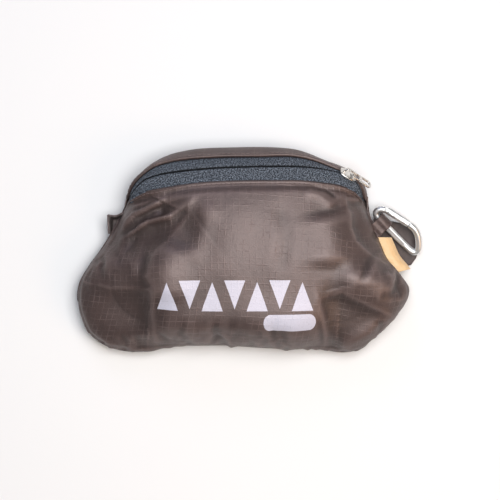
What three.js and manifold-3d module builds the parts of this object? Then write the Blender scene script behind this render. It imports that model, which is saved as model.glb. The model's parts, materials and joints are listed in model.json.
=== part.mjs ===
// A packable daypack, folded away into its own zipped front pocket and lying on its back.
// Millimetres. +Z is up and out of the pocket's front, +Y runs towards the zip and +X
// towards the carabiner. The origin is the middle of the flat cloth that rests on the table.
//
// The pocket is one closed skin that runs round in four stretches: the front panel, the zip
// band, the shoulder of the back panel and its underside. Every cloth piece, the zip and the
// folded pack inside are worked out from that skin.

import * as THREE from "three";
import Module from "manifold-3d";
import { mergeVertices } from "three/addons/utils/BufferGeometryUtils.js";

const wasm = await Module();
wasm.setup();

// Pocket
const POUCH_WIDTH = 206; // side seam to side seam at the lobes
const POUCH_HEIGHT = 127; // bottom seam to the shoulder beyond the zip
const POUCH_DEPTH = 50; // table to the top of the stuffed front
const CLOTH_WALL = 1.2;
const CLOTH_GAP = 0.3; // left between two pieces that touch
const SEAM_GAP = 0.5; // left between the rims of the front and back panels
const CROWN_PLACE = 0.6; // where the front is highest, from bottom seam to zip
const CROWN_SQUARENESS = 2.5; // 2 is a round crown, more is flatter on top
const REST_SQUARENESS = 4; // how boxy the underside's resting patch is
const REST_PRESS = 1.22; // how hard the underside is pressed flat on the table

// Zip
const TAPE_WALL = 0.9;
const TAPE_TUCK = 4; // tape hidden under each panel's edge
const TAPE_SLIT = 0.6;
const COIL_WIDTH = 3.4;
const COIL_HEIGHT = 1.5;
const COIL_GAP = 0.5; // coil to the tapes over it

// Slider and pull tab
const SLIDER_PLACE = 0.885; // along the zip, from its left end
const SLIDER_LENGTH = 11.5;
const SLIDER_WIDTH = 8.6;
const SLIDER_TAIL_WIDTH = 6.4;
const SLIDER_PLATE = 1.2;
const SLIDER_NECK = 1.6;
const SLIDER_MOUTH = 3.4; // between its two plates
const BRIDGE_WIDTH = 2.4;
const BRIDGE_LENGTH = 8.4;
const BRIDGE_WALL = 1.0;
const BRIDGE_OPENING = 2.6; // clear height under the bridge
const PULL_LENGTH = 15;
const PULL_WIDTH = 7;
const PULL_WALL = 1.1;
const PULL_SLOT = 3; // width of both openings through the pull tab
const PULL_DROOP = 5; // degrees that the pull tab hangs below the slider's plane

// Carabiner
const CARABINER_LENGTH = 40;
const CARABINER_WIDTH = 18.5;
const ROD = 4.2;
const GATE_ROD = 4.5;
const GATE_END_GAP = 0.4;
const SPINE_FLAT = 0.5; // depth that the stamped spine is pressed flat
const RIVET = 1.2;
const TONGUE_WALL = 1.1;
const TONGUE_CLEARANCE = 0.25;
const CARABINER_TURN = -37.5; // degrees in plan, long axis from the loop to the wide end
const CARABINER_DIP = 8.5; // degrees, wide end lower than the loop end
const CARABINER_ROLL = 24; // degrees, gate side higher than the spine

// Loop, tail and label, all sewn into the right side seam
const LOOP_WIDTH = 9;
const LOOP_REACH = 6.2; // seam to the middle of the rod that it holds
const LOOP_TURN = 28; // degrees in plan, the way that the loop points
const LOOP_DROP = 3.3; // seam to the middle of the rod, downwards
const ROD_SLACK = 1.1; // room between the loop and the rod
const TAIL_WIDTH = 27;
const TAIL_LENGTH = 27;
const TAIL_WALL = 2.2; // two layers of pack cloth
const TAIL_TUCK = 0.2; // under the pocket's overhanging side
const TAIL_TURN = -16;
const LABEL_LENGTH = 23;
const LABEL_REACH = 6.5; // in plan
const LABEL_WALL = 1.3;

// Left corner tab
const EAR_RIM = 2.2; // height of the turned rim above the tab
const EAR_DENT = 4; // depth of the hollow inside the rim

const ROWS_FRONT = 20;
const ROWS_SHOULDER = 4;
const ROWS_UNDER = 18;
const COLUMNS = 32;

const halfWidth = POUCH_WIDTH / 2;
const halfHeight = POUCH_HEIGHT / 2;

// Seam and zip lines. across and up are shares of the pocket's half width and half height,
// and lift is a share of its depth.
const BOTTOM_SEAM = [
  { across: -0.934, up: -0.81, lift: 0.22 },
  { across: -0.862, up: -0.907, lift: 0.22 },
  { across: -0.754, up: -0.976, lift: 0.21 },
  { across: -0.628, up: -0.995, lift: 0.2 },
  { across: -0.502, up: -0.966, lift: 0.2 },
  { across: -0.36, up: -0.932, lift: 0.2 },
  { across: -0.13, up: -0.932, lift: 0.2 },
  { across: 0.111, up: -0.956, lift: 0.2 },
  { across: 0.3, up: -0.968, lift: 0.2 },
  { across: 0.43, up: -0.962, lift: 0.2 },
  { across: 0.598, up: -1, lift: 0.2 },
  { across: 0.7, up: -0.966, lift: 0.21 },
  { across: 0.826, up: -0.81, lift: 0.22 },
];
const LEFT_SEAM = [
  { across: -0.934, up: -0.81, lift: 0.22 },
  { across: -0.982, up: -0.644, lift: 0.23 },
  { across: -1, up: -0.478, lift: 0.24 },
  { across: -0.988, up: -0.322, lift: 0.25 },
  { across: -0.934, up: -0.156, lift: 0.25 },
  { across: -0.868, up: -0.01, lift: 0.25 },
  { across: -0.82, up: 0.098, lift: 0.25 },
  { across: -0.778, up: 0.215, lift: 0.26 },
];
const LEFT_SEAM_TO_FRONT = [
  { across: -0.742, up: 0.322, lift: 0.27 },
  { across: -0.716, up: 0.4, lift: 0.31 },
  { across: -0.694, up: 0.459, lift: 0.48 },
];
const LEFT_SEAM_TO_BACK = [
  { across: -0.744, up: 0.322, lift: 0.255 },
  { across: -0.72, up: 0.41, lift: 0.24 },
  { across: -0.706, up: 0.488, lift: 0.195 },
];
const RIGHT_SEAM = [
  { across: 0.826, up: -0.81, lift: 0.22 },
  { across: 0.91, up: -0.663, lift: 0.23 },
  { across: 0.97, up: -0.517, lift: 0.24 },
  { across: 0.994, up: -0.38, lift: 0.24 },
  { across: 0.964, up: -0.302, lift: 0.24 },
  { across: 0.916, up: -0.185, lift: 0.25 },
  { across: 0.862, up: -0.068, lift: 0.25 },
  { across: 0.826, up: 0.068, lift: 0.25 },
  { across: 0.796, up: 0.195, lift: 0.26 },
];
const RIGHT_SEAM_TO_FRONT = [
  { across: 0.76, up: 0.332, lift: 0.27 },
  { across: 0.733, up: 0.429, lift: 0.31 },
  { across: 0.706, up: 0.488, lift: 0.48 },
];
const RIGHT_SEAM_TO_BACK = [
  { across: 0.762, up: 0.332, lift: 0.255 },
  { across: 0.752, up: 0.4, lift: 0.24 },
  { across: 0.749, up: 0.459, lift: 0.195 },
];
const ZIP_LOWER_EDGE = [
  { across: -0.694, up: 0.459 },
  { across: -0.58, up: 0.552 },
  { across: -0.471, up: 0.59 },
  { across: -0.363, up: 0.62 },
  { across: -0.207, up: 0.647 },
  { across: -0.021, up: 0.66 },
  { across: 0.189, up: 0.663 },
  { across: 0.351, up: 0.66 },
  { across: 0.459, up: 0.641 },
  { across: 0.568, up: 0.615 },
  { across: 0.65, up: 0.563 },
  { across: 0.706, up: 0.488 },
];
const ZIP_MIDDLE = [
  { across: -0.7, up: 0.483 },
  { across: -0.676, up: 0.566 },
  { across: -0.6, up: 0.683 },
  { across: -0.526, up: 0.725 },
  { across: -0.423, up: 0.755 },
  { across: -0.207, up: 0.79 },
  { across: 0.063, up: 0.808 },
  { across: 0.351, up: 0.808 },
  { across: 0.459, up: 0.792 },
  { across: 0.568, up: 0.76 },
  { across: 0.64, up: 0.717 },
  { across: 0.7, up: 0.62 },
  { across: 0.727, up: 0.488 },
];
const ZIP_UPPER_EDGE = [
  { across: -0.704, up: 0.498 },
  { across: -0.685, up: 0.6 },
  { across: -0.64, up: 0.698 },
  { across: -0.54, up: 0.815 },
  { across: -0.441, up: 0.862 },
  { across: -0.339, up: 0.886 },
  { across: -0.15, up: 0.905 },
  { across: 0.1, up: 0.912 },
  { across: 0.291, up: 0.915 },
  { across: 0.4, up: 0.887 },
  { across: 0.508, up: 0.829 },
  { across: 0.63, up: 0.742 },
  { across: 0.706, up: 0.634 },
  { across: 0.739, up: 0.478 },
];
const SHOULDER = [
  { across: -0.706, up: 0.488 },
  { across: -0.697, up: 0.58 },
  { across: -0.664, up: 0.673 },
  { across: -0.575, up: 0.816 },
  { across: -0.453, up: 0.924 },
  { across: -0.357, up: 0.966 },
  { across: -0.231, up: 0.99 },
  { across: -0.006, up: 1.004 },
  { across: 0.219, up: 1 },
  { across: 0.327, up: 0.976 },
  { across: 0.489, up: 0.878 },
  { across: 0.634, up: 0.78 },
  { across: 0.706, up: 0.69 },
  { across: 0.743, up: 0.576 },
  { across: 0.749, up: 0.459 },
];

// How high the lines of the zip band run: end is the lift where the line meets a side seam,
// and crown is the share of what is left to the top that it gains in the middle.
const BAND = [
  { line: ZIP_LOWER_EDGE, end: 0.48, crown: 0.79 },
  { line: ZIP_MIDDLE, end: 0.35, crown: 0.69 },
  { line: ZIP_UPPER_EDGE, end: 0.25, crown: 0.54 },
  { line: SHOULDER, end: 0.195, crown: 0.28 },
];

// Main folds of the front, each a straight ridge or hollow between two points. width is a share
// of the pocket's height and rise, negative for a hollow, a share of its depth.
const FOLDS = [
  { name: "ear ridge", fromAcross: -0.74, fromUp: 0.23, toAcross: -0.56, toUp: 0.38, width: 0.03, rise: 0.035 },
  { name: "ear crease", fromAcross: -0.71, fromUp: 0.2, toAcross: -0.52, toUp: 0.29, width: 0.03, rise: -0.05 },
  { name: "second ridge", fromAcross: -0.69, fromUp: 0.17, toAcross: -0.48, toUp: 0.32, width: 0.028, rise: 0.03 },
  { name: "long ear hollow", fromAcross: -0.74, fromUp: 0.15, toAcross: -0.36, toUp: 0.31, width: 0.055, rise: -0.075 },
  { name: "left lobe ridge", fromAcross: -0.9, fromUp: -0.35, toAcross: -0.56, toUp: -0.38, width: 0.06, rise: 0.05 },
  { name: "left side hollow", fromAcross: -0.66, fromUp: 0.02, toAcross: -0.62, toUp: -0.22, width: 0.09, rise: -0.05 },
  { name: "left of the plateau", fromAcross: -0.56, fromUp: -0.42, toAcross: -0.57, toUp: -0.86, width: 0.05, rise: -0.06 },
  { name: "right shoulder hollow", fromAcross: 0.5, fromUp: 0.5, toAcross: 0.74, toUp: 0.06, width: 0.09, rise: -0.06 },
  { name: "right lobe ridge", fromAcross: 0.72, fromUp: -0.14, toAcross: 0.9, toUp: -0.34, width: 0.07, rise: 0.04 },
  { name: "right dent", fromAcross: 0.52, fromUp: -0.62, toAcross: 0.7, toUp: -0.76, width: 0.11, rise: -0.09 },
  { name: "right of the plateau", fromAcross: 0.48, fromUp: -0.52, toAcross: 0.49, toUp: -0.88, width: 0.035, rise: -0.045 },
  { name: "lower right rim", fromAcross: 0.6, fromUp: -0.9, toAcross: 0.86, toUp: -0.6, width: 0.05, rise: 0.04 },
  { name: "bottom pinch", fromAcross: -0.15, fromUp: -0.78, toAcross: -0.17, toUp: -0.93, width: 0.04, rise: -0.05 },
  { name: "bottom ripple", fromAcross: 0.02, fromUp: -0.88, toAcross: 0.16, toUp: -0.85, width: 0.03, rise: -0.03 },
];

const LAYERS_IN_PACK = 5; // folds that show round the side of the folded pack
const LAYER_RIPPLE = 1; // depth of the groove between two of them
const PACK_INSET = 7; // folded pack to side seam, in plan
const PACK_HEADROOM = 3.6; // folded pack to the inside of the front panel

const place = ({ across, up, lift = 0 }) =>
  new THREE.Vector3(across * halfWidth, up * halfHeight, lift * POUCH_DEPTH);
const curveThrough = (rows) =>
  new THREE.CatmullRomCurve3(rows.map(place), false, "centripetal");
const radians = THREE.MathUtils.degToRad;

const bottomSeam = curveThrough(BOTTOM_SEAM);
const leftToFront = curveThrough([...LEFT_SEAM, ...LEFT_SEAM_TO_FRONT]);
const leftToBack = curveThrough([...LEFT_SEAM, ...LEFT_SEAM_TO_BACK]);
const rightToFront = curveThrough([...RIGHT_SEAM, ...RIGHT_SEAM_TO_FRONT]);
const rightToBack = curveThrough([...RIGHT_SEAM, ...RIGHT_SEAM_TO_BACK]);
const bandCurves = BAND.map((row) => curveThrough(row.line));

// A bulge that is 0 at both seams and 1 between them, steep at the seams.
const bulge = (share, squareness) =>
  Math.sqrt(Math.max(0, 1 - Math.abs(2 * share - 1) ** squareness));

// The same from bottom seam to zip, where it stays high at the zip.
function frontRise(share) {
  const fromCrown =
    share < CROWN_PLACE
      ? (CROWN_PLACE - share) / CROWN_PLACE
      : (share - CROWN_PLACE) / (1 - CROWN_PLACE);
  return share < CROWN_PLACE
    ? Math.sqrt(Math.max(0, 1 - fromCrown ** CROWN_SQUARENESS))
    : 1 - (1 - BAND[0].crown) * fromCrown ** 2;
}

// A point of a patch inside four edge curves: the mean of the two rulings less the corners.
function coons(along, up, bottom, top, left, right) {
  const point = new THREE.Vector3();
  point.addScaledVector(bottom, 1 - up).addScaledVector(top, up);
  point.addScaledVector(left(up), 1 - along).addScaledVector(right(up), along);
  point.addScaledVector(left(0), -(1 - along) * (1 - up));
  point.addScaledVector(right(0), -along * (1 - up));
  point.addScaledVector(left(1), -(1 - along) * up);
  return point.addScaledVector(right(1), -along * up);
}

// A line of the zip band, from the left side seam to the right one.
function bandPoint(index, along) {
  const point = bandCurves[index].getPointAt(along);
  const end = BAND[index].end * POUCH_DEPTH;
  point.z =
    end +
    (POUCH_DEPTH - end) * BAND[index].crown * bulge(along, CROWN_SQUARENESS);
  return point;
}

// How far the folds lift the front at a place in plan.
function foldRise(x, y) {
  let rise = 0;
  for (const fold of FOLDS) {
    const from = new THREE.Vector2(fold.fromAcross * halfWidth, fold.fromUp * halfHeight);
    const run = new THREE.Vector2(fold.toAcross * halfWidth, fold.toUp * halfHeight).sub(from);
    const here = new THREE.Vector2(x, y).sub(from);
    const share = THREE.MathUtils.clamp(here.dot(run) / run.lengthSq(), 0, 1);
    const distance = here.addScaledVector(run, -share).length() / (fold.width * POUCH_HEIGHT);
    rise += fold.rise * POUCH_DEPTH * Math.exp(-distance * distance);
  }
  return rise;
}

// The front panel before it is stuffed: the surface that its seams span.
function frontBase(along, up) {
  const top = bandCurves[0].getPointAt(along);
  top.z = BAND[0].end * POUCH_DEPTH;
  return coons(
    along,
    up,
    bottomSeam.getPointAt(along),
    top,
    (t) => leftToFront.getPointAt(t),
    (t) => rightToFront.getPointAt(t),
  );
}

function frontPoint(along, up) {
  const point = frontBase(along, up);
  point.z += (POUCH_DEPTH - point.z) * bulge(along, CROWN_SQUARENESS) * frontRise(up);
  return point;
}

// The underside, from the shoulder to the bottom seam, pressed flat where it rests.
function underBase(along, down) {
  return coons(
    along,
    1 - down,
    bottomSeam.getPointAt(along),
    bandPoint(3, along),
    (t) => leftToBack.getPointAt(t),
    (t) => rightToBack.getPointAt(t),
  );
}

function underPoint(along, down) {
  const point = underBase(along, down);
  const press = REST_PRESS * bulge(along, REST_SQUARENESS) * bulge(down, REST_SQUARENESS);
  point.z *= 1 - THREE.MathUtils.smoothstep(press, 0, 1);
  return point;
}

// The whole skin: round is 0 at the bottom seam, 1 at the zip's lower edge, 1.5 at its middle,
// 2 at its upper edge, 3 at the shoulder and 4 at the bottom seam again.
const ROUND = { lower: 1, middle: 1.5, upper: 2, shoulder: 3, seam: 4 };
const BAND_KNOTS = [
  { round: 0.82, point: (along) => frontPoint(along, 0.82) },
  { round: 0.91, point: (along) => frontPoint(along, 0.91) },
  { round: ROUND.lower, point: (along) => bandPoint(0, along) },
  { round: ROUND.middle, point: (along) => bandPoint(1, along) },
  { round: ROUND.upper, point: (along) => bandPoint(2, along) },
  { round: ROUND.shoulder, point: (along) => bandPoint(3, along) },
  { round: 3.05, point: (along) => underPoint(along, 0.05) },
  { round: 3.14, point: (along) => underPoint(along, 0.14) },
];
const bandCache = new Map();

function skin(along, round) {
  if (round <= ROUND.lower) return frontPoint(along, round);
  if (round >= ROUND.shoulder) return underPoint(along, round - ROUND.shoulder);
  if (!bandCache.has(along))
    bandCache.set(
      along,
      new THREE.CatmullRomCurve3(BAND_KNOTS.map((knot) => knot.point(along))),
    );
  const before = BAND_KNOTS.findLastIndex((knot) => knot.round <= round);
  const [low, high] = [BAND_KNOTS[before], BAND_KNOTS[before + 1]];
  const share = (round - low.round) / (high.round - low.round);
  return bandCache.get(along).getPoint((before + share) / (BAND_KNOTS.length - 1));
}

const SLOPE_STEP = 0.002;

const isRim = (along, round) =>
  along === 0 || along === 1 || round === 0 || round === ROUND.seam;

// The skin's outward direction. At a rim it is level and square to the seam, so that the rims
// of two pieces lie edge to edge, and at the zip's ends it points away from the middle.
function outward(along, round) {
  const [a0, a1] = [Math.max(0, along - SLOPE_STEP), Math.min(1, along + SLOPE_STEP)];
  const [r0, r1] = [Math.max(0, round - SLOPE_STEP), Math.min(ROUND.seam, round + SLOPE_STEP)];
  const across = skin(a1, round).sub(skin(a0, round));
  const around = skin(along, r1).sub(skin(along, r0));
  if (!isRim(along, round)) return across.cross(around).normalize();
  const away = skin(along, round).setZ(0).normalize();
  if (round >= ROUND.lower && round <= ROUND.shoulder) return away;
  const seam = along === 0 || along === 1 ? around : across;
  const level = new THREE.Vector3(seam.y, -seam.x, 0).normalize();
  return level.dot(away) < 0 ? level.negate() : level;
}

const folded = (along, round) => {
  const point = skin(along, round);
  if (round > ROUND.lower) return point;
  const nearSeam = Math.min(1, bulge(along, CROWN_SQUARENESS) * frontRise(round) * 1.6);
  const nearZip = THREE.MathUtils.smoothstep(1 - round, 0, 0.12);
  return point.addScaledVector(
    outward(along, round),
    foldRise(point.x, point.y) * nearSeam * nearZip,
  );
};

// Stations that crowd towards both seams, where the skin turns steeply.
const crowded = (count) =>
  Array.from({ length: count + 1 }, (_, i) => (1 - Math.cos((Math.PI * i) / count)) / 2);
const columns = crowded(COLUMNS);
columns[COLUMNS] = 1;

// A closed wall between two grids of points, the outer one facing out.
function wallBetween(outer, inner) {
  const [rows, cells] = [outer.length, outer[0].length];
  const positions = [...outer.flat(), ...inner.flat()].flatMap((p) => [p.x, p.y, p.z]);
  const indices = [];
  const quad = (a, b, c, d) => indices.push(a, b, c, a, c, d);
  const out = (i, j) => i * cells + j;
  const inside = (i, j) => rows * cells + i * cells + j;
  for (let i = 0; i < rows - 1; i++)
    for (let j = 0; j < cells - 1; j++) {
      quad(out(i, j), out(i, j + 1), out(i + 1, j + 1), out(i + 1, j));
      quad(inside(i, j), inside(i + 1, j), inside(i + 1, j + 1), inside(i, j + 1));
    }
  for (let i = 0; i < rows - 1; i++) {
    quad(out(i, 0), out(i + 1, 0), inside(i + 1, 0), inside(i, 0));
    quad(out(i + 1, cells - 1), out(i, cells - 1), inside(i, cells - 1), inside(i + 1, cells - 1));
  }
  for (let j = 0; j < cells - 1; j++) {
    quad(out(0, j + 1), out(0, j), inside(0, j), inside(0, j + 1));
    quad(out(rows - 1, j), out(rows - 1, j + 1), inside(rows - 1, j + 1), inside(rows - 1, j));
  }
  return indexed(positions, indices);
}

function indexed(positions, indices) {
  const geometry = new THREE.BufferGeometry();
  geometry.setAttribute("position", new THREE.Float32BufferAttribute(positions, 3));
  geometry.setIndex(indices);
  return geometry;
}

// A wall that follows the skin: from depth below it to depth plus wall below it. hold keeps
// a point on its own side of the seam.
function skinWall(rounds, stations, depth, wall, hold = () => {}) {
  const layer = (below) =>
    rounds.map((round) =>
      stations.map((along) => {
        const point = folded(along, round).addScaledVector(outward(along, round), -below);
        hold(point, along, round);
        return point;
      }),
    );
  return wallBetween(layer(depth), layer(depth + wall));
}

// Solids and booleans
function solid(geometry) {
  const bare = geometry.index ? geometry.toNonIndexed() : geometry.clone();
  bare.deleteAttribute("normal");
  bare.deleteAttribute("uv");
  const merged = mergeVertices(bare, 1e-4);
  return new wasm.Manifold(
    new wasm.Mesh({
      numProp: 3,
      vertProperties: new Float32Array(merged.attributes.position.array),
      triVerts: new Uint32Array(merged.index.array),
    }),
  );
}

function geometryOf(manifold) {
  const made = manifold.getMesh();
  return indexed(Array.from(made.vertProperties), Array.from(made.triVerts));
}

const union = (first, ...rest) => rest.reduce((sum, next) => sum.add(next), first);
const moved = (geometry, x, y, z) => geometry.translate(x, y, z);
const box = (x, y, z) => new THREE.BoxGeometry(x, y, z);

// A cylinder along Y, as three.js makes it, or turned to lie along X or Z.
function rodAlong(axis, radius, length, sides) {
  const rod = new THREE.CylinderGeometry(radius, radius, length, sides);
  if (axis === "x") rod.rotateZ(Math.PI / 2);
  if (axis === "z") rod.rotateX(Math.PI / 2);
  return rod;
}

const CLOTH = { color: 0x6f6263, roughness: 0.55, metalness: 0 };
const TAPE = { color: 0x3d454e, roughness: 0.85, metalness: 0 };
const NYLON_COIL = { color: 0x14161a, roughness: 0.5, metalness: 0 };
const NICKEL = { color: 0xb9b6b0, roughness: 0.25, metalness: 1 };
const ALUMINIUM = { color: 0xc9ccce, roughness: 0.32, metalness: 1 };
const LABEL = { color: 0xdcb27a, roughness: 0.45, metalness: 0 };

const pack = new THREE.Group();

function addMesh(parent, name, geometry, finish) {
  const mesh = new THREE.Mesh(geometry, new THREE.MeshStandardMaterial(finish));
  mesh.name = name;
  parent.add(mesh);
  return mesh;
}

// Where each tape is tucked under its panel, as a place round the skin
const panelLength = (up0, up1) => skin(0.5, up0).distanceTo(skin(0.5, up1));
const frontTuck = ROUND.lower - (0.05 * TAPE_TUCK) / panelLength(0.95, 1);
const backTuck = ROUND.upper + (0.3 * TAPE_TUCK) / panelLength(ROUND.upper, 2.3);
const slitHalf = (0.2 * (TAPE_SLIT / 2)) / panelLength(ROUND.middle - 0.1, ROUND.middle + 0.1);

const frontRounds = Array.from(
  { length: ROWS_FRONT },
  (_, i) => frontTuck * (i / (ROWS_FRONT - 1)) ** 1.5,
);
frontRounds.push(ROUND.lower);
const backRounds = [ROUND.upper, backTuck];
for (let i = 1; i <= ROWS_SHOULDER; i++)
  backRounds.push(backTuck + ((ROUND.shoulder - backTuck) * i) / ROWS_SHOULDER);
for (const share of crowded(ROWS_UNDER).slice(1)) backRounds.push(ROUND.shoulder + share);
backRounds[backRounds.length - 1] = ROUND.seam;

// The front panel stays above the surface that the seams span, and the back panel below it
const heldAbove = (gap) => (point, along, round) => {
  point.z = Math.max(point.z, frontBase(along, round).z + gap / 2);
};
const heldBelow = (gap) => (point, along, round) => {
  if (round > ROUND.shoulder)
    point.z = Math.min(point.z, underBase(along, round - ROUND.shoulder).z - gap / 2);
};

// From the bottom seam to the zip's lower edge
const frontPanel = () => skinWall(frontRounds, columns, 0, CLOTH_WALL, heldAbove(SEAM_GAP));

// From the zip's upper edge over the shoulder and under to the bottom seam
const backPanel = () => skinWall(backRounds, columns, 0, CLOTH_WALL, heldBelow(SEAM_GAP));

// Zip tapes: each runs from under its panel's edge to the slit over the coil
const TAPE_DEPTH = CLOTH_WALL + CLOTH_GAP;
const innerColumns = columns.slice(2, -2);
const lowerTape = () =>
  skinWall(
    [frontTuck, ROUND.lower, (ROUND.lower + ROUND.middle) / 2, ROUND.middle - slitHalf],
    innerColumns,
    TAPE_DEPTH,
    TAPE_WALL,
  );
const upperTape = () =>
  skinWall(
    [ROUND.middle + slitHalf, (ROUND.middle + ROUND.upper) / 2, ROUND.upper, backTuck],
    innerColumns,
    TAPE_DEPTH,
    TAPE_WALL,
  );

// A place on the skin's zip line with its own directions: along the zip, across and outward
function zipFrame(along, depth) {
  const outwardHere = outward(along, ROUND.middle);
  const point = skin(along, ROUND.middle).addScaledVector(outwardHere, -depth);
  const forward = skin(Math.min(1, along + SLOPE_STEP), ROUND.middle)
    .sub(skin(along - SLOPE_STEP, ROUND.middle))
    .normalize();
  const side = new THREE.Vector3().crossVectors(outwardHere, forward).normalize();
  return { point, forward, side, outward: new THREE.Vector3().crossVectors(forward, side) };
}

const COIL_STOP = 0.045; // short of the slider, along the zip

// Coil under the slit: a flattened six-sided bar along the zip
function zipCoil() {
  const stations = innerColumns.slice(2).filter((along) => along < SLIDER_PLACE - COIL_STOP);
  const loop = [-0.5, -0.3, 0.3, 0.5, 0.3, -0.3].map((side, i) => ({
    side: side * COIL_WIDTH,
    out: [0, 0.5, 0.5, 0, -0.5, -0.5][i] * COIL_HEIGHT,
  }));
  const depth = TAPE_DEPTH + TAPE_WALL + COIL_GAP + COIL_HEIGHT / 2;
  const rings = stations.map((along) => {
    const frame = zipFrame(along, depth);
    return loop.map(({ side, out }) =>
      frame.point.clone().addScaledVector(frame.side, side).addScaledVector(frame.outward, out),
    );
  });
  return tubeOf(rings);
}

// A closed solid through rings of points, with a fan over each end
function tubeOf(rings) {
  const count = rings[0].length;
  const middleOf = (ring) =>
    ring.reduce((sum, p) => sum.add(p), new THREE.Vector3()).divideScalar(count);
  const positions = [...rings.flat(), middleOf(rings[0]), middleOf(rings.at(-1))].flatMap((p) => [p.x, p.y, p.z]);
  const [first, last] = [rings.length * count, rings.length * count + 1];
  const indices = [];
  for (let i = 0; i < count; i++) {
    const next = (i + 1) % count;
    indices.push(first, next, i);
    indices.push(last, (rings.length - 1) * count + i, (rings.length - 1) * count + next);
    for (let k = 0; k < rings.length - 1; k++) {
      const [a, b] = [k * count, (k + 1) * count];
      indices.push(a + i, a + next, b + next, a + i, b + next, b + i);
    }
  }
  const tube = indexed(positions, indices);
  return solid(tube).volume() < 0 ? turnedRound(tube) : tube;
}

function turnedRound(geometry) {
  const index = geometry.index.array;
  for (let i = 0; i < index.length; i += 3) [index[i + 1], index[i + 2]] = [index[i + 2], index[i + 1]];
  return geometry;
}

// The folded pack that fills the pocket: the skin drawn in, with grooves between its layers
function foldedPack() {
  const stations = Array.from({ length: 23 }, (_, i) => 0.035 + (0.93 * i) / 22);
  const rounds = [
    ...Array.from({ length: 11 }, (_, i) => (i / 11) ** 1.4),
    ROUND.lower,
    ROUND.middle,
    ROUND.upper,
    2.5,
    ...Array.from({ length: 8 }, (_, i) => ROUND.shoulder + i / 8),
  ];
  const floor = CLOTH_WALL + CLOTH_GAP;
  const shrinkX = 1 - PACK_INSET / halfWidth;
  const shrinkY = 1 - PACK_INSET / halfHeight;
  const shrinkZ = (POUCH_DEPTH - CLOTH_WALL - PACK_HEADROOM - floor) / POUCH_DEPTH;
  const rings = stations.map((along) =>
    rounds.map((round) => {
      const point = folded(along, round);
      const steep = 1 - Math.abs(outward(along, round).z);
      const groove = LAYER_RIPPLE * steep * (0.5 + 0.5 * Math.cos((2 * Math.PI * LAYERS_IN_PACK * point.z) / POUCH_DEPTH));
      const reach = Math.hypot(point.x, point.y) || 1;
      return new THREE.Vector3(
        point.x * (shrinkX - groove / reach),
        point.y * (shrinkY - groove / reach),
        floor + point.z * shrinkZ,
      );
    }),
  );
  return tubeOf(rings);
}

// Slider: two plates joined by a neck through the slit, with a bridge for the pull tab
const sliderTop = SLIDER_PLATE + CLOTH_GAP; // top face above the tapes
const pivotHeight = sliderTop + BRIDGE_OPENING / 2;

function sliderPlate(thickness) {
  const outline = new THREE.Shape();
  const [back, front] = [-SLIDER_LENGTH / 2, SLIDER_LENGTH / 2];
  outline.moveTo(back, -SLIDER_TAIL_WIDTH / 2);
  outline.lineTo(front * 0.2, -SLIDER_WIDTH / 2);
  outline.quadraticCurveTo(front, -SLIDER_WIDTH / 2, front, 0);
  outline.quadraticCurveTo(front, SLIDER_WIDTH / 2, front * 0.2, SLIDER_WIDTH / 2);
  outline.lineTo(back, SLIDER_TAIL_WIDTH / 2);
  return new THREE.ExtrudeGeometry(outline, { depth: thickness, bevelEnabled: false, curveSegments: 5 });
}

const sliderNeckLength = SLIDER_LENGTH * 0.3;
const sliderUnderside = CLOTH_GAP - SLIDER_MOUTH; // top face of the lower plate
const neckPlace = SLIDER_LENGTH * 0.22;

function sliderBody() {
  const upper = solid(moved(sliderPlate(SLIDER_PLATE), 0, 0, CLOTH_GAP));
  const lower = solid(moved(sliderPlate(SLIDER_PLATE), 0, 0, sliderUnderside - SLIDER_PLATE));
  const neckHeight = CLOTH_GAP - sliderUnderside + SLIDER_PLATE;
  const neck = solid(
    moved(box(sliderNeckLength, SLIDER_NECK, neckHeight), neckPlace, 0, (CLOTH_GAP + sliderUnderside) / 2),
  );
  const archHeight = BRIDGE_OPENING + BRIDGE_WALL;
  const arch = new THREE.Shape();
  const half = BRIDGE_LENGTH / 2;
  arch.moveTo(-half, 0);
  arch.lineTo(-half, archHeight * 0.45);
  arch.quadraticCurveTo(-half, archHeight, -half * 0.45, archHeight);
  arch.lineTo(half * 0.45, archHeight);
  arch.quadraticCurveTo(half, archHeight, half, archHeight * 0.45);
  arch.lineTo(half, 0);
  const inner = half - BRIDGE_WALL;
  arch.lineTo(inner, 0);
  arch.lineTo(inner, BRIDGE_OPENING * 0.5);
  arch.quadraticCurveTo(inner, BRIDGE_OPENING, inner * 0.5, BRIDGE_OPENING);
  arch.lineTo(-inner * 0.5, BRIDGE_OPENING);
  arch.quadraticCurveTo(-inner, BRIDGE_OPENING, -inner, BRIDGE_OPENING * 0.5);
  arch.lineTo(-inner, 0);
  const bridge = new THREE.ExtrudeGeometry(arch, { depth: BRIDGE_WIDTH, bevelEnabled: false, curveSegments: 4 });
  bridge.rotateX(Math.PI / 2).translate(0, BRIDGE_WIDTH / 2, sliderTop - 0.1);
  return union(upper, lower, neck, solid(bridge));
}

// Room that the slider takes out of the tapes and of the pack: its neck and its lower plate
function sliderRoom() {
  const reach = 4 * SLIDER_MOUTH;
  const neck = box(sliderNeckLength + 2 * CLOTH_GAP, SLIDER_NECK + 2 * CLOTH_GAP, reach);
  const plate = box(SLIDER_LENGTH + 2 * CLOTH_GAP, SLIDER_WIDTH + 2 * CLOTH_GAP, SLIDER_MOUTH);
  return union(
    solid(moved(neck, neckPlace, 0, 0)),
    solid(moved(plate, 0, 0, sliderUnderside + CLOTH_GAP - SLIDER_MOUTH / 2)),
  );
}

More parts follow.
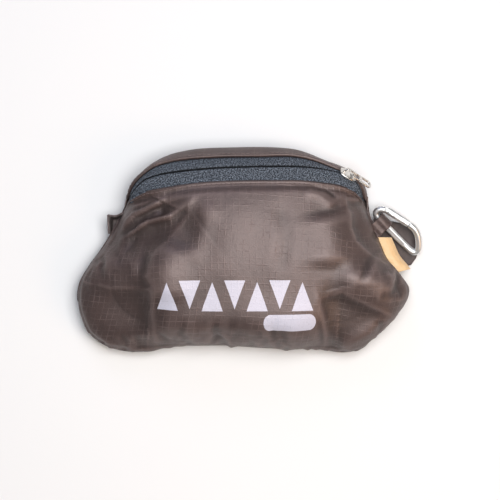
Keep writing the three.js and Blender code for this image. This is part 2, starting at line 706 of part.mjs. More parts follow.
// Pull tab: a flat bar with a slot for its cross bar under the bridge and a long slot
const pullRootBar = 1.3;
function pullTab() {
  const outline = new THREE.Shape();
  const [root, tip] = [-pullRootBar / 2, PULL_LENGTH - pullRootBar / 2];
  const [narrow, wide] = [PULL_WIDTH * 0.43, PULL_WIDTH / 2];
  outline.moveTo(root, -narrow);
  outline.lineTo(PULL_LENGTH * 0.3, -narrow);
  outline.lineTo(PULL_LENGTH * 0.5, -wide);
  outline.lineTo(tip - wide * 0.8, -wide);
  outline.quadraticCurveTo(tip, -wide, tip, 0);
  outline.quadraticCurveTo(tip, wide, tip - wide * 0.8, wide);
  outline.lineTo(PULL_LENGTH * 0.5, wide);
  outline.lineTo(PULL_LENGTH * 0.3, narrow);
  outline.lineTo(root, narrow);
  const window = (from, to, width) => {
    const hole = new THREE.Path();
    hole.moveTo(from, -width / 2);
    hole.lineTo(from, width / 2);
    hole.lineTo(to, width / 2);
    hole.lineTo(to, -width / 2);
    hole.closePath();
    return hole;
  };
  outline.holes.push(window(pullRootBar / 2, PULL_LENGTH * 0.33, PULL_SLOT + 0.4));
  outline.holes.push(window(PULL_LENGTH * 0.47, tip - pullRootBar * 1.4, PULL_SLOT));
  const tab = new THREE.ExtrudeGeometry(outline, { depth: PULL_WALL, bevelEnabled: false, curveSegments: 5 });
  return tab.translate(0, 0, -PULL_WALL / 2);
}

const sliderFrame = zipFrame(SLIDER_PLACE, TAPE_DEPTH);
const sliderBasis = new THREE.Matrix4()
  .makeBasis(sliderFrame.forward, sliderFrame.side, sliderFrame.outward)
  .setPosition(sliderFrame.point);

function cutBySlider(geometry) {
  const room = solid(geometryOf(sliderRoom()).applyMatrix4(sliderBasis));
  return geometryOf(solid(geometry).subtract(room));
}

// Carabiner, in its own frame: long axis along X from the loop end, gate on the +Y side.
// along is a share of its length and beside a share of its width, both from its middle.
const ROD_LINE = [
  { along: 0.075, beside: 0.375 },
  { along: 0.19, beside: 0.357 },
  { along: 0.275, beside: 0.27 },
  { along: 0.355, beside: 0.12 },
  { along: 0.418, beside: -0.04 },
  { along: 0.447, beside: -0.19 },
  { along: 0.425, beside: -0.29 },
  { along: 0.36, beside: -0.325 },
  { along: 0.18, beside: -0.29 },
  { along: -0.05, beside: -0.225 },
  { along: -0.25, beside: -0.165 },
  { along: -0.375, beside: -0.115 },
  { along: -0.437, beside: -0.035 },
  { along: -0.447, beside: 0.075 },
  { along: -0.415, beside: 0.185 },
  { along: -0.36, beside: 0.262 },
];
const GATE_HINGE = { along: -0.305, beside: 0.288 };
const GATE_NOSE = { along: 0.06, beside: 0.372 };
const HELD_PLACE = 0.775; // along the rod's line, where the loop holds it
const inPlane = ({ along, beside }) =>
  new THREE.Vector3(along * CARABINER_LENGTH, beside * CARABINER_WIDTH, 0);
const hinge = inPlane(GATE_HINGE);
const nose = inPlane(GATE_NOSE);
const gateAngle = Math.atan2(nose.y - hinge.y, nose.x - hinge.x);
const gateLength = nose.distanceTo(hinge); // rivet to gate tip
const knuckle = GATE_ROD / 2;
const TONGUE_LENGTH = 2.2;

// From the gate's own frame, rivet at the origin and tip along +X, to the carabiner's frame
const gateFrame = new THREE.Matrix4().makeRotationZ(gateAngle).setPosition(hinge);

function carabinerBody() {
  const line = new THREE.CatmullRomCurve3(ROD_LINE.map(inPlane), false, "centripetal");
  const section = new THREE.Shape();
  section.absarc(0, 0, ROD / 2, 0, 2 * Math.PI);
  const rod = new THREE.ExtrudeGeometry(section, { steps: 40, curveSegments: 5, extrudePath: line });
  const reach = CARABINER_LENGTH;
  const gateWindow = box(gateLength + knuckle + 2 * GATE_END_GAP, 3 * ROD, 3 * ROD);
  gateWindow.translate((gateLength - knuckle) / 2, 0, 0).applyMatrix4(gateFrame);
  const spineStart = inPlane({ along: -0.25, beside: -0.165 });
  const spineEnd = inPlane({ along: 0.36, beside: -0.325 });
  const press = box(reach * 0.46, ROD * 1.5, ROD);
  press.rotateZ(Math.atan2(spineEnd.y - spineStart.y, spineEnd.x - spineStart.x));
  const spineMiddle = spineStart.clone().lerp(spineEnd, 0.42);
  press.translate(spineMiddle.x, spineMiddle.y, ROD - SPINE_FLAT);
  const hingeTongue = box(knuckle + GATE_END_GAP + 2.4, ROD * 0.62, TONGUE_WALL);
  hingeTongue.translate(-(knuckle + GATE_END_GAP + 2.4) / 2 + RIVET * 0.9, 0, 0).applyMatrix4(gateFrame);
  const noseTongue = box(TONGUE_LENGTH + GATE_END_GAP + 2.4, ROD * 0.62, TONGUE_WALL);
  noseTongue.translate(gateLength + (2.4 + GATE_END_GAP - TONGUE_LENGTH) / 2, 0, 0).applyMatrix4(gateFrame);
  const rivetHole = rodAlong("z", RIVET / 2 + CLOTH_GAP / 2, ROD * 2, 12).applyMatrix4(gateFrame);
  return solid(turnedOut(rod))
    .subtract(solid(gateWindow))
    .subtract(solid(press))
    .add(solid(hingeTongue))
    .add(solid(noseTongue))
    .subtract(solid(rivetHole));
}

function turnedOut(geometry) {
  const plain = geometry.index ? geometry : mergeVertices(stripped(geometry), 1e-4);
  return solid(plain).volume() < 0 ? turnedRound(plain) : plain;
}

function stripped(geometry) {
  geometry.deleteAttribute("normal");
  geometry.deleteAttribute("uv");
  return geometry;
}

// Gate: a rod with a round knuckle at the rivet and a slot at each end for the body's tongues
function carabinerGate() {
  const rod = rodAlong("x", GATE_ROD / 2, gateLength + knuckle, 14).translate((gateLength - knuckle) / 2, 0, 0);
  const knuckleRound = rodAlong("z", knuckle, GATE_ROD * 2, 20);
  const beyondRivet = box(gateLength, GATE_ROD * 2, GATE_ROD * 2).translate(gateLength / 2, 0, 0);
  const slotHeight = TONGUE_WALL + 2 * TONGUE_CLEARANCE;
  const hingeSlot = box(2 * knuckle + 1.6, GATE_ROD * 2, slotHeight);
  const noseSlot = box(2 * (TONGUE_LENGTH + GATE_END_GAP), GATE_ROD * 2, slotHeight).translate(gateLength, 0, 0);
  const rivetHole = rodAlong("z", RIVET / 2 + 0.12, GATE_ROD * 2, 12);
  return solid(rod)
    .intersect(solid(knuckleRound).add(solid(beyondRivet)))
    .subtract(solid(hingeSlot))
    .subtract(solid(noseSlot))
    .subtract(solid(rivetHole));
}

const gateRivet = () => rodAlong("z", RIVET / 2, GATE_ROD - 0.5, 12);

// Pieces sewn into a side seam start a little inside it and are cut back to its line in plan
const SEAM_OVERRUN = 4;
const OFF_SEAM = 0.5;

function insideSeams(offset) {
  const steps = 40;
  const line = (curve, outwardTurn) =>
    Array.from({ length: steps + 1 }, (_, i) => {
      const along = curve.getTangentAt(i / steps);
      const out = new THREE.Vector2(along.y, -along.x).normalize().multiplyScalar(outwardTurn * offset);
      const point = curve.getPointAt(i / steps);
      return out.add(new THREE.Vector2(point.x, point.y));
    });
  const outline = [...line(rightToFront, 1), ...line(leftToFront, -1).reverse()];
  const prism = new THREE.ExtrudeGeometry(new THREE.Shape(outline), {
    depth: 2 * POUCH_DEPTH,
    bevelEnabled: false,
  });
  return solid(prism.translate(0, 0, -POUCH_DEPTH / 2));
}

function cutToSeam(geometry, matrix, offset = OFF_SEAM) {
  const inWorld = solid(geometry.clone().applyMatrix4(matrix));
  const cut = geometryOf(inWorld.subtract(insideSeams(offset)));
  return cut.applyMatrix4(matrix.clone().invert());
}

// The place on the right side seam at a height in plan, a share of half the pocket's height
function seamPlace(up) {
  const places = Array.from({ length: 201 }, (_, i) => rightToFront.getPointAt(i / 200));
  const miss = (point) => Math.abs(point.y - up * halfHeight);
  return places.reduce((best, point) => (miss(point) < miss(best) ? point : best));
}

// Loop: a cloth band that leaves the seam, goes round the carabiner's rod and comes back
const LOOP_PLACE = 0.23; // along the seam, a share of the pocket's half height
const loopRoot = seamPlace(LOOP_PLACE);
const loopInner = ROD / 2 + ROD_SLACK;
const loopOuter = loopInner + CLOTH_WALL;

function sideLoop() {
  const start = -SEAM_OVERRUN;
  const outline = new THREE.Shape();
  outline.moveTo(start, -CLOTH_WALL);
  outline.quadraticCurveTo(LOOP_REACH * 0.45, -CLOTH_WALL, LOOP_REACH * 0.7, -loopOuter);
  outline.lineTo(LOOP_REACH, -loopOuter);
  outline.absarc(LOOP_REACH, 0, loopOuter, -Math.PI / 2, Math.PI / 2);
  outline.lineTo(LOOP_REACH * 0.7, loopOuter);
  outline.quadraticCurveTo(LOOP_REACH * 0.45, CLOTH_WALL, start, CLOTH_WALL);
  const hollow = new THREE.Path();
  hollow.moveTo(LOOP_REACH * 0.42, 0);
  hollow.lineTo(LOOP_REACH * 0.74, loopInner);
  hollow.lineTo(LOOP_REACH, loopInner);
  hollow.absarc(LOOP_REACH, 0, loopInner, Math.PI / 2, -Math.PI / 2, true);
  hollow.lineTo(LOOP_REACH * 0.74, -loopInner);
  hollow.closePath();
  outline.holes.push(hollow);
  const band = new THREE.ExtrudeGeometry(outline, { depth: LOOP_WIDTH, bevelEnabled: false, curveSegments: 6 });
  return band.rotateX(Math.PI / 2).translate(0, LOOP_WIDTH / 2, 0);
}


// Cloth strip whose middle line rises from the table to the seam
const TAIL_PLACE = 0.13;
const TAIL_RISE = [
  { out: 0, lift: 0.26 },
  { out: 0.14, lift: 0.15 },
  { out: 0.3, lift: 0.04 },
  { out: 0.42, lift: 0 },
  { out: 1, lift: 0 },
];
const TAIL_SHAPE = [
  { out: 0, half: 0.4 },
  { out: 0.3, half: 0.47 },
  { out: 0.6, half: 0.5 },
  { out: 0.82, half: 0.47 },
  { out: 0.94, half: 0.38 },
  { out: 1, half: 0.2 },
];
const tailRoot = seamPlace(TAIL_PLACE);

function lookUp(table, key, column) {
  const after = table.findIndex((row) => row.out >= key);
  if (after <= 0) return table[0][column];
  const [low, high] = [table[after - 1], table[after]];
  return low[column] + ((high[column] - low[column]) * (key - low.out)) / (high.out - low.out);
}

function clothTail() {
  const outs = [0, 0.07, 0.14, 0.22, 0.3, 0.42, 0.6, 0.75, 0.86, 0.94, 1];
  const sides = [-1, -0.6, -0.2, 0.2, 0.6, 1];
  const start = -SEAM_OVERRUN;
  const layer = (wall) =>
    outs.map((out) =>
      sides.map((side) => {
        const half = lookUp(TAIL_SHAPE, out, "half") * TAIL_WIDTH;
        const rise = lookUp(TAIL_RISE, out, "lift") * (tailRoot.z - TAIL_WALL);
        return new THREE.Vector3(start + out * (TAIL_LENGTH - start), side * half, rise + wall);
      }),
    );
  const strip = wallBetween(layer(TAIL_WALL), layer(0));
  return solid(strip).volume() < 0 ? turnedRound(strip) : strip;
}

// Side label: a folded ribbon sewn in along the seam, with its free edge curling down
const LABEL_TOP = 0.1; // top end, a share of the pocket's half height
const LABEL_STEPS = 7;
const LABEL_TURN = 17; // degrees in plan that its bottom end is turned more than its top
const LABEL_CURL = [
  { out: 0.12, lift: 1.02 },
  { out: 0.45, lift: 1.02 },
  { out: 0.75, lift: 0.9 },
  { out: 1, lift: 0.68 },
];

function sideLabel() {
  const topPoint = seamPlace(LABEL_TOP);
  const seamLine = [];
  const samples = 400;
  for (let i = samples; i >= 0; i--) {
    const point = rightToFront.getPointAt(i / samples);
    if (point.y <= topPoint.y && point.distanceTo(topPoint) <= LABEL_LENGTH) seamLine.push(point);
  }
  const layer = (wall) =>
    Array.from({ length: LABEL_STEPS + 1 }, (_, i) => {
      const share = i / LABEL_STEPS;
      const turn = radians(LABEL_TURN * share);
      const here = seamLine[Math.round(share * (seamLine.length - 1))];
      return LABEL_CURL.map((row) => {
        const reach = row.out * LABEL_REACH;
        return new THREE.Vector3(
          here.x + reach * Math.cos(turn),
          here.y + reach * Math.sin(turn),
          here.z * row.lift + wall,
        );
      });
    });
  const strip = wallBetween(layer(LABEL_WALL / 2), layer(-LABEL_WALL / 2));
  return solid(strip).volume() < 0 ? turnedRound(strip) : strip;
}

// Left corner tab: the seam allowance turned out as a small open fold
const EAR_CORNERS = {
  topOut: { across: -0.82, up: 0.345 },
  topIn: { across: -0.72, up: 0.385 },
  lowIn: { across: -0.775, up: 0.225 },
  lowOut: { across: -0.83, up: 0.1 },
};
const EAR_LIFT = 0.27;

function cornerTab() {
  const cells = 8;
  const corner = (name) => place({ ...EAR_CORNERS[name], lift: EAR_LIFT });
  const [topOut, topIn, lowIn, lowOut] = ["topOut", "topIn", "lowIn", "lowOut"].map(corner);
  const layer = (below) =>
    Array.from({ length: cells + 1 }, (_, i) =>
      Array.from({ length: cells + 1 }, (_, j) => {
        const [down, across] = [i / cells, j / cells];
        const top = topOut.clone().lerp(topIn, across);
        const point = top.lerp(lowOut.clone().lerp(lowIn, across), down);
        const rim = Math.exp(-((down / 0.16) ** 2));
        const hollow = Math.sin(Math.PI * across) * Math.exp(-(((down - 0.36) / 0.2) ** 2));
        point.z += EAR_RIM * rim - EAR_DENT * hollow - below;
        return point;
      }),
    );
  const tab = wallBetween(layer(0), layer(CLOTH_WALL));
  return solid(tab).volume() < 0 ? turnedRound(tab) : tab;
}

// Assembly
addMesh(pack, "front_panel", frontPanel(), CLOTH);
addMesh(pack, "back_panel", backPanel(), CLOTH);
addMesh(pack, "folded_pack", foldedPack(), CLOTH);
addMesh(pack, "zip_tape_lower", cutBySlider(lowerTape()), TAPE);
addMesh(pack, "zip_tape_upper", cutBySlider(upperTape()), TAPE);
addMesh(pack, "zip_coil", zipCoil(), NYLON_COIL);

const slider = new THREE.Group();
slider.position.copy(sliderFrame.point);
slider.quaternion.setFromRotationMatrix(sliderBasis);
addMesh(slider, "zip_slider", geometryOf(sliderBody()), NICKEL);
const pull = new THREE.Group();
pull.position.set(BRIDGE_LENGTH / 2 - BRIDGE_WALL - pullRootBar, 0, pivotHeight);
pull.rotation.y = radians(PULL_DROOP);
addMesh(pull, "zip_pull_tab", pullTab(), NICKEL);
slider.add(pull);
pack.add(slider);

// The carabiner, and the loop turned to lie square to the rod that it holds
const carabiner = new THREE.Group();
carabiner.rotation.set(radians(CARABINER_ROLL), radians(CARABINER_DIP), radians(CARABINER_TURN), "ZYX");
const rodLine = new THREE.CatmullRomCurve3(ROD_LINE.map(inPlane), false, "centripetal");
const heldAt = new THREE.Vector3(LOOP_REACH, 0, -LOOP_DROP)
  .applyAxisAngle(new THREE.Vector3(0, 0, 1), radians(LOOP_TURN))
  .add(loopRoot);
carabiner.position.copy(heldAt).sub(rodLine.getPointAt(HELD_PLACE).applyEuler(carabiner.rotation));
addMesh(carabiner, "carabiner_body", geometryOf(carabinerBody()), ALUMINIUM);

const rodDirection = rodLine.getTangentAt(HELD_PLACE).applyEuler(carabiner.rotation);
const loopOut = heldAt.clone().sub(loopRoot);
loopOut.addScaledVector(rodDirection, -loopOut.dot(rodDirection)).normalize();
const loopBasis = new THREE.Matrix4()
  .makeBasis(loopOut, rodDirection, loopOut.clone().cross(rodDirection))
  .setPosition(heldAt.clone().addScaledVector(loopOut, -LOOP_REACH));
const loop = new THREE.Group();
loop.applyMatrix4(loopBasis);
addMesh(loop, "side_loop", cutToSeam(sideLoop(), loopBasis), CLOTH);
pack.add(loop);

const gate = new THREE.Group();
gate.position.copy(hinge);
gate.rotation.z = gateAngle;
addMesh(gate, "carabiner_gate", geometryOf(carabinerGate()), ALUMINIUM);
addMesh(gate, "gate_rivet", gateRivet(), ALUMINIUM);
carabiner.add(gate);
pack.add(carabiner);

const tail = new THREE.Group();
tail.position.set(tailRoot.x, tailRoot.y, 0);
tail.rotation.z = radians(TAIL_TURN);
tail.updateMatrix();
addMesh(tail, "strap_tail", cutToSeam(clothTail(), tail.matrix, -TAIL_TUCK), CLOTH);
pack.add(tail);
addMesh(pack, "side_label", sideLabel(), LABEL);
addMesh(pack, "corner_tab", cutToSeam(cornerTab(), pack.matrix, 1.6 * OFF_SEAM), CLOTH);

export default pack;
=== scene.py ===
# %% [markdown]
# # A packable backpack, folded away into its own zipped pocket
#
# The backpack lies on its back, stuffed into its front pocket. What shows is a pouch of
# semi-gloss ripstop nylon with a curved zip, and at its right side a cloth loop with a small
# carabiner, a satin ribbon label and a cloth tail.
#
# The solids of the model come in as a fixed frame. Around them this script makes the finished
# surfaces with numpy, in millimetres, and hands them to Blender in metres.

# %% The frame
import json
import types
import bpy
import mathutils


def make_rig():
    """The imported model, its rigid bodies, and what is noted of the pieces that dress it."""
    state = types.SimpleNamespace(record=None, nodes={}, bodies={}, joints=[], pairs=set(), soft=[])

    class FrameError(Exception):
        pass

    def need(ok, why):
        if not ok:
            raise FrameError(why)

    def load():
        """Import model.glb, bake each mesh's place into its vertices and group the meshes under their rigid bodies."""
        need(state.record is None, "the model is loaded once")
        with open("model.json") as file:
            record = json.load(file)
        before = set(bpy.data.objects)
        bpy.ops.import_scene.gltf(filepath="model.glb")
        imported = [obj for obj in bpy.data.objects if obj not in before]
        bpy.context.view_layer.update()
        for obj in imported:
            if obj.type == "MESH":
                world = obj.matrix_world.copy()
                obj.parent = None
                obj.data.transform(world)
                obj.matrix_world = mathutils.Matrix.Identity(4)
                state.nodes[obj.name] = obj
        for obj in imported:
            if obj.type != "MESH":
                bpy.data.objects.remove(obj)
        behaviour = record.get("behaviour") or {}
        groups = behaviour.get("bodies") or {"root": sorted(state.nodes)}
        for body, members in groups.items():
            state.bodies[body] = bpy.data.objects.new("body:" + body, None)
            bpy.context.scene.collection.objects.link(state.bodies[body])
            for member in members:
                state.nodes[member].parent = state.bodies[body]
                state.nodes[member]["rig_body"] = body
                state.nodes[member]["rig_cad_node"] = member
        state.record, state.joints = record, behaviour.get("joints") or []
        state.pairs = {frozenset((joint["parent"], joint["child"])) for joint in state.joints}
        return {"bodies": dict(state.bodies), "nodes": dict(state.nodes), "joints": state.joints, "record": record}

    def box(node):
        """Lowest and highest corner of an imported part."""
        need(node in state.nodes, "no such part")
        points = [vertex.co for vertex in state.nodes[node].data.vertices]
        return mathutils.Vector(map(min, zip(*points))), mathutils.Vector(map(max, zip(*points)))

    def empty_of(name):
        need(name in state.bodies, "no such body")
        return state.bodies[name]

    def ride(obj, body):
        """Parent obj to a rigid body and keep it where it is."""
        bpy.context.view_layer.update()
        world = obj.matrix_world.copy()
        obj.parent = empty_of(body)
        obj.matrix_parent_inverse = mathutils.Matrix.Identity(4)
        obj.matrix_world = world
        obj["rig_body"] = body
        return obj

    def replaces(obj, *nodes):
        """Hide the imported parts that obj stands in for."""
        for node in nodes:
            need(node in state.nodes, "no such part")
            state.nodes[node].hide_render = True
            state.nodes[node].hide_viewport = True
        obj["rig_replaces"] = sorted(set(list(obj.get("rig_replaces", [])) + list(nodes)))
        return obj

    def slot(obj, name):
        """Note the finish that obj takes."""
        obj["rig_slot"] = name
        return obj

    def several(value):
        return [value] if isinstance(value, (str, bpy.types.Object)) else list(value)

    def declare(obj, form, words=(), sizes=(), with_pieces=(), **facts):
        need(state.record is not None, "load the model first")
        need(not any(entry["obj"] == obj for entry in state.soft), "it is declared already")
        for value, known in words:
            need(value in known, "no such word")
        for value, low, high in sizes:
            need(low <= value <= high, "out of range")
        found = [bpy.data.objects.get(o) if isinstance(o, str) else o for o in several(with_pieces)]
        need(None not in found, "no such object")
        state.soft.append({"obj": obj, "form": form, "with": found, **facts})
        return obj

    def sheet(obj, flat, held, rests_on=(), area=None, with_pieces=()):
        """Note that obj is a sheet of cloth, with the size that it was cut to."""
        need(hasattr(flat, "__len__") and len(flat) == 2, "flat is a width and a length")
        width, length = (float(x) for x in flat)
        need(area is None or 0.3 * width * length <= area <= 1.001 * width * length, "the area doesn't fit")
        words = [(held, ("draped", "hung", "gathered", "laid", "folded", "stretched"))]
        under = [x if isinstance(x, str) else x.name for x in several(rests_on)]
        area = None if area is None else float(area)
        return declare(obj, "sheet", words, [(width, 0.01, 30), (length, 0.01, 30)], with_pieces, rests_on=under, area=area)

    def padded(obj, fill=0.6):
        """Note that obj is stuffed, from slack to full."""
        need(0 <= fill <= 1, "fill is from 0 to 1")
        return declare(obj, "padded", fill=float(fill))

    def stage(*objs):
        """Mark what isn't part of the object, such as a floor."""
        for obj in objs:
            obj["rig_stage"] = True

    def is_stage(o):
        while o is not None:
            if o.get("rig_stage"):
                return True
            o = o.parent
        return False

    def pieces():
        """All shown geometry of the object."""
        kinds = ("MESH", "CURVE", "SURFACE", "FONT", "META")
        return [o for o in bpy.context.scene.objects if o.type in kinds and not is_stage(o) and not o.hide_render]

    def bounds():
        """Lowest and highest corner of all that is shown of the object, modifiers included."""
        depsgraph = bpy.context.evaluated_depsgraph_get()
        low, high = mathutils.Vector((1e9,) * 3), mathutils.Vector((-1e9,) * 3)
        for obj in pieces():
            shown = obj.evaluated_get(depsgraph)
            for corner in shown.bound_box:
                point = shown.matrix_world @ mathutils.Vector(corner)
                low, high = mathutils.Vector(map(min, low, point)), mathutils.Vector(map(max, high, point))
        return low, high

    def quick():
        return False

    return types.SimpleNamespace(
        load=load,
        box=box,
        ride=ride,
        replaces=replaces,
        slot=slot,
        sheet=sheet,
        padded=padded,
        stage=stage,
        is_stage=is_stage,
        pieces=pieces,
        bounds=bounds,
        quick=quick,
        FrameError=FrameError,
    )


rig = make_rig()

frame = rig.load()

import json

import bmesh
import bpy
import numpy as np
from mathutils import Vector

cad_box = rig.bounds()
nodes = frame["nodes"]
MM = 0.001
print("The frame holds", len(nodes), "solids on the bodies", sorted(frame["bodies"]))

# %% [markdown]
# ## The camera
#
# The photograph looks straight down on the pouch, from a little on the near side. A long lens
# far away keeps the outline as flat as it shows there. The image is square, so the lens
# follows from the width of table that it takes in.

# %% The camera
VIEW_WIDTH = 310.0  # mm of table across the image
VIEW_CENTRE = (4.0, 0.0, 18.0)  # mm, the point in the middle of the image
VIEW_ELEVATION = 88.0
VIEW_DISTANCE = 1500.0
SENSOR = 36.0

camera_data = bpy.data.cameras.new("studio_camera")
camera_data.sensor_width = SENSOR
camera_data.lens = SENSOR * VIEW_DISTANCE / VIEW_WIDTH
camera_data.clip_end = 20
camera = bpy.data.objects.new("studio_camera", camera_data)
tilt = np.radians(90 - VIEW_ELEVATION)
back_off = np.array([0, -np.sin(tilt), np.cos(tilt)]) * VIEW_DISTANCE
camera.location = (np.array(VIEW_CENTRE) + back_off) * MM
camera.rotation_euler = (tilt, 0, 0)
bpy.context.scene.collection.objects.link(camera)
bpy.context.scene.camera = camera
print("Lens:", round(camera_data.lens), "mm")

# %% [markdown]
# ## From numbers to meshes
#
# Every surface here is a grid of points, rows by columns, worked out for all points at once.
# One helper turns such a grid into a mesh. Its UV map holds the place on the cloth in
# millimetres, so that a weave keeps its size and follows every fold.

# %% A mesh from a grid
def surface(name, points, cloth=None, plan=None, closed=False):
    """A mesh from a grid of points in mm, rows x columns x 3, with four corners to a face.
    cloth and plan are grids of places in mm for the maps of those names. In a closed grid the
    last column joins the first, and the maps then have one column more than the points."""
    rows, columns = points.shape[:2]
    index = np.arange(rows * columns).reshape(rows, columns)
    wrapped = np.hstack([index, index[:, :1]]) if closed else index
    corners = [wrapped[:-1, :-1], wrapped[:-1, 1:], wrapped[1:, 1:], wrapped[1:, :-1]]
    faces = np.stack(corners, -1).reshape(-1, 4)
    mesh = bpy.data.meshes.new(name)
    mesh.from_pydata(points.reshape(-1, 3) * MM, [], faces)
    for map_name, places in (("cloth", cloth), ("plan", plan)):
        if places is None:
            continue
        spread = [places[:-1, :-1], places[:-1, 1:], places[1:, 1:], places[1:, :-1]]
        layer = mesh.uv_layers.new(name=map_name)
        layer.data.foreach_set("uv", np.stack(spread, 2).astype(np.float32).ravel())
    mesh.polygons.foreach_set("use_smooth", np.ones(len(mesh.polygons), bool))
    mesh.update()
    piece = bpy.data.objects.new(name, mesh)
    bpy.context.scene.collection.objects.link(piece)
    return piece


def paint(piece, name, values):
    """Gives each vertex of a grid a number of its own, as an attribute."""
    layer = piece.data.attributes.new(name, "FLOAT", "POINT")
    layer.data.foreach_set("value", values.astype(np.float32).ravel())


def seal(piece, near=1e-6):
    """Merges doubled points and turns all faces outwards."""
    shell = bmesh.new()
    shell.from_mesh(piece.data)
    bmesh.ops.remove_doubles(shell, verts=shell.verts, dist=near)
    bmesh.ops.dissolve_degenerate(shell, edges=shell.edges, dist=near)
    bmesh.ops.recalc_face_normals(shell, faces=shell.faces)
    shell.to_mesh(piece.data)
    shell.free()
    return piece


def unit(vectors):
    """The same directions, one long."""
    return vectors / np.maximum(np.linalg.norm(vectors, axis=-1, keepdims=True), 1e-12)


def outward(points):
    """The direction out of a grid at each point: across the columns times up the rows."""
    return unit(np.cross(np.gradient(points, axis=1), np.gradient(points, axis=0)))


def cloth_places(points):
    """Places on the cloth in mm: arc length along each row and each column, counted from the
    middle of the grid."""
    def lengths(axis):
        steps = np.linalg.norm(np.diff(points, axis=axis), axis=-1)
        start = np.zeros_like(np.take(steps, [0], axis))
        run = np.concatenate([start, np.cumsum(steps, axis)], axis)
        return run - np.take(run, [run.shape[axis] // 2], axis)
    return np.stack([lengths(1), lengths(0)], -1)


def powered(x, power):
    """A power of a number's size, with its sign kept."""
    return np.sign(x) * np.abs(x) ** power


def joined(name, pieces):
    """One piece made of several, whose own objects go."""
    shell = bmesh.new()
    for piece in pieces:
        shell.from_mesh(piece.data)
        bpy.data.objects.remove(piece)
    mesh = bpy.data.meshes.new(name)
    shell.to_mesh(mesh)
    shell.free()
    whole_piece = bpy.data.objects.new(name, mesh)
    bpy.context.scene.collection.objects.link(whole_piece)
    return whole_piece


print("Helpers: surface, paint, seal, unit, outward, cloth_places, powered, joined")

# %% [markdown]
# ## The lines of the pocket
#
# A sewn pouch is ruled by its seams. Each seam and zip line is a short list of points, as
# shares of the pocket's half width, half height and depth, with a smooth curve through them.
# They are the lines that the solids were made from, so the cloth fits over them.

# %% Sizes of the pocket
POUCH_WIDTH, POUCH_HEIGHT, POUCH_DEPTH = 206.0, 127.0, 50.0
HALF = np.array([POUCH_WIDTH / 2, POUCH_HEIGHT / 2, POUCH_DEPTH])
CROWN_PLACE = 0.6  # where the front is highest, from bottom seam to zip
CROWN_SQUARENESS = 2.5
REST_SQUARENESS = 4.0
REST_PRESS = 1.22

# %% Seam and zip lines: across, up and lift, as shares of the sizes
BOTTOM_SEAM = [
    (-0.934, -0.81, 0.22), (-0.862, -0.907, 0.22), (-0.754, -0.976, 0.21), (-0.628, -0.995, 0.2),
    (-0.502, -0.966, 0.2), (-0.36, -0.932, 0.2), (-0.13, -0.932, 0.2), (0.111, -0.956, 0.2),
    (0.3, -0.968, 0.2), (0.43, -0.962, 0.2), (0.598, -1, 0.2), (0.7, -0.966, 0.21),
    (0.826, -0.81, 0.22),
]
LEFT_SEAM = [
    (-0.934, -0.81, 0.22), (-0.982, -0.644, 0.23), (-1, -0.478, 0.24), (-0.988, -0.322, 0.25),
    (-0.934, -0.156, 0.25), (-0.868, -0.01, 0.25), (-0.82, 0.098, 0.25), (-0.778, 0.215, 0.26),
]
LEFT_TO_FRONT = [(-0.742, 0.322, 0.27), (-0.716, 0.4, 0.31), (-0.694, 0.459, 0.48)]
LEFT_TO_BACK = [(-0.744, 0.322, 0.255), (-0.72, 0.41, 0.24), (-0.706, 0.488, 0.195)]
RIGHT_SEAM = [
    (0.826, -0.81, 0.22), (0.91, -0.663, 0.23), (0.97, -0.517, 0.24), (0.994, -0.38, 0.24),
    (0.964, -0.302, 0.24), (0.916, -0.185, 0.25), (0.862, -0.068, 0.25), (0.826, 0.068, 0.25),
    (0.796, 0.195, 0.26),
]
RIGHT_TO_FRONT = [(0.76, 0.332, 0.27), (0.733, 0.429, 0.31), (0.706, 0.488, 0.48)]
RIGHT_TO_BACK = [(0.762, 0.332, 0.255), (0.752, 0.4, 0.24), (0.749, 0.459, 0.195)]
ZIP_LOWER_EDGE = [
    (-0.694, 0.459), (-0.58, 0.552), (-0.471, 0.59), (-0.363, 0.62), (-0.207, 0.647),
    (-0.021, 0.66), (0.189, 0.663), (0.351, 0.66), (0.459, 0.641), (0.568, 0.615),
    (0.65, 0.563), (0.706, 0.488),
]
ZIP_MIDDLE = [
    (-0.7, 0.483), (-0.676, 0.566), (-0.6, 0.683), (-0.526, 0.725), (-0.423, 0.755),
    (-0.207, 0.79), (0.063, 0.808), (0.351, 0.808), (0.459, 0.792), (0.568, 0.76),
    (0.64, 0.717), (0.7, 0.62), (0.727, 0.488),
]
ZIP_UPPER_EDGE = [
    (-0.704, 0.498), (-0.685, 0.6), (-0.64, 0.698), (-0.54, 0.815), (-0.441, 0.862),
    (-0.339, 0.886), (-0.15, 0.905), (0.1, 0.912), (0.291, 0.915), (0.4, 0.887),
    (0.508, 0.829), (0.63, 0.742), (0.706, 0.634), (0.739, 0.478),
]
SHOULDER = [
    (-0.706, 0.488), (-0.697, 0.58), (-0.664, 0.673), (-0.575, 0.816), (-0.453, 0.924),
    (-0.357, 0.966), (-0.231, 0.99), (-0.006, 1.004), (0.219, 1), (0.327, 0.976),
    (0.489, 0.878), (0.634, 0.78), (0.706, 0.69), (0.743, 0.576), (0.749, 0.459),
]
# For each line of the zip band: its lift at a side seam, and the share of the rest of the way
# to the top that it gains in the middle
BAND = [
    (ZIP_LOWER_EDGE, 0.48, 0.79), (ZIP_MIDDLE, 0.35, 0.69),
    (ZIP_UPPER_EDGE, 0.25, 0.54), (SHOULDER, 0.195, 0.28),
]
print("Lines of the pocket:", 6 + len(BAND))

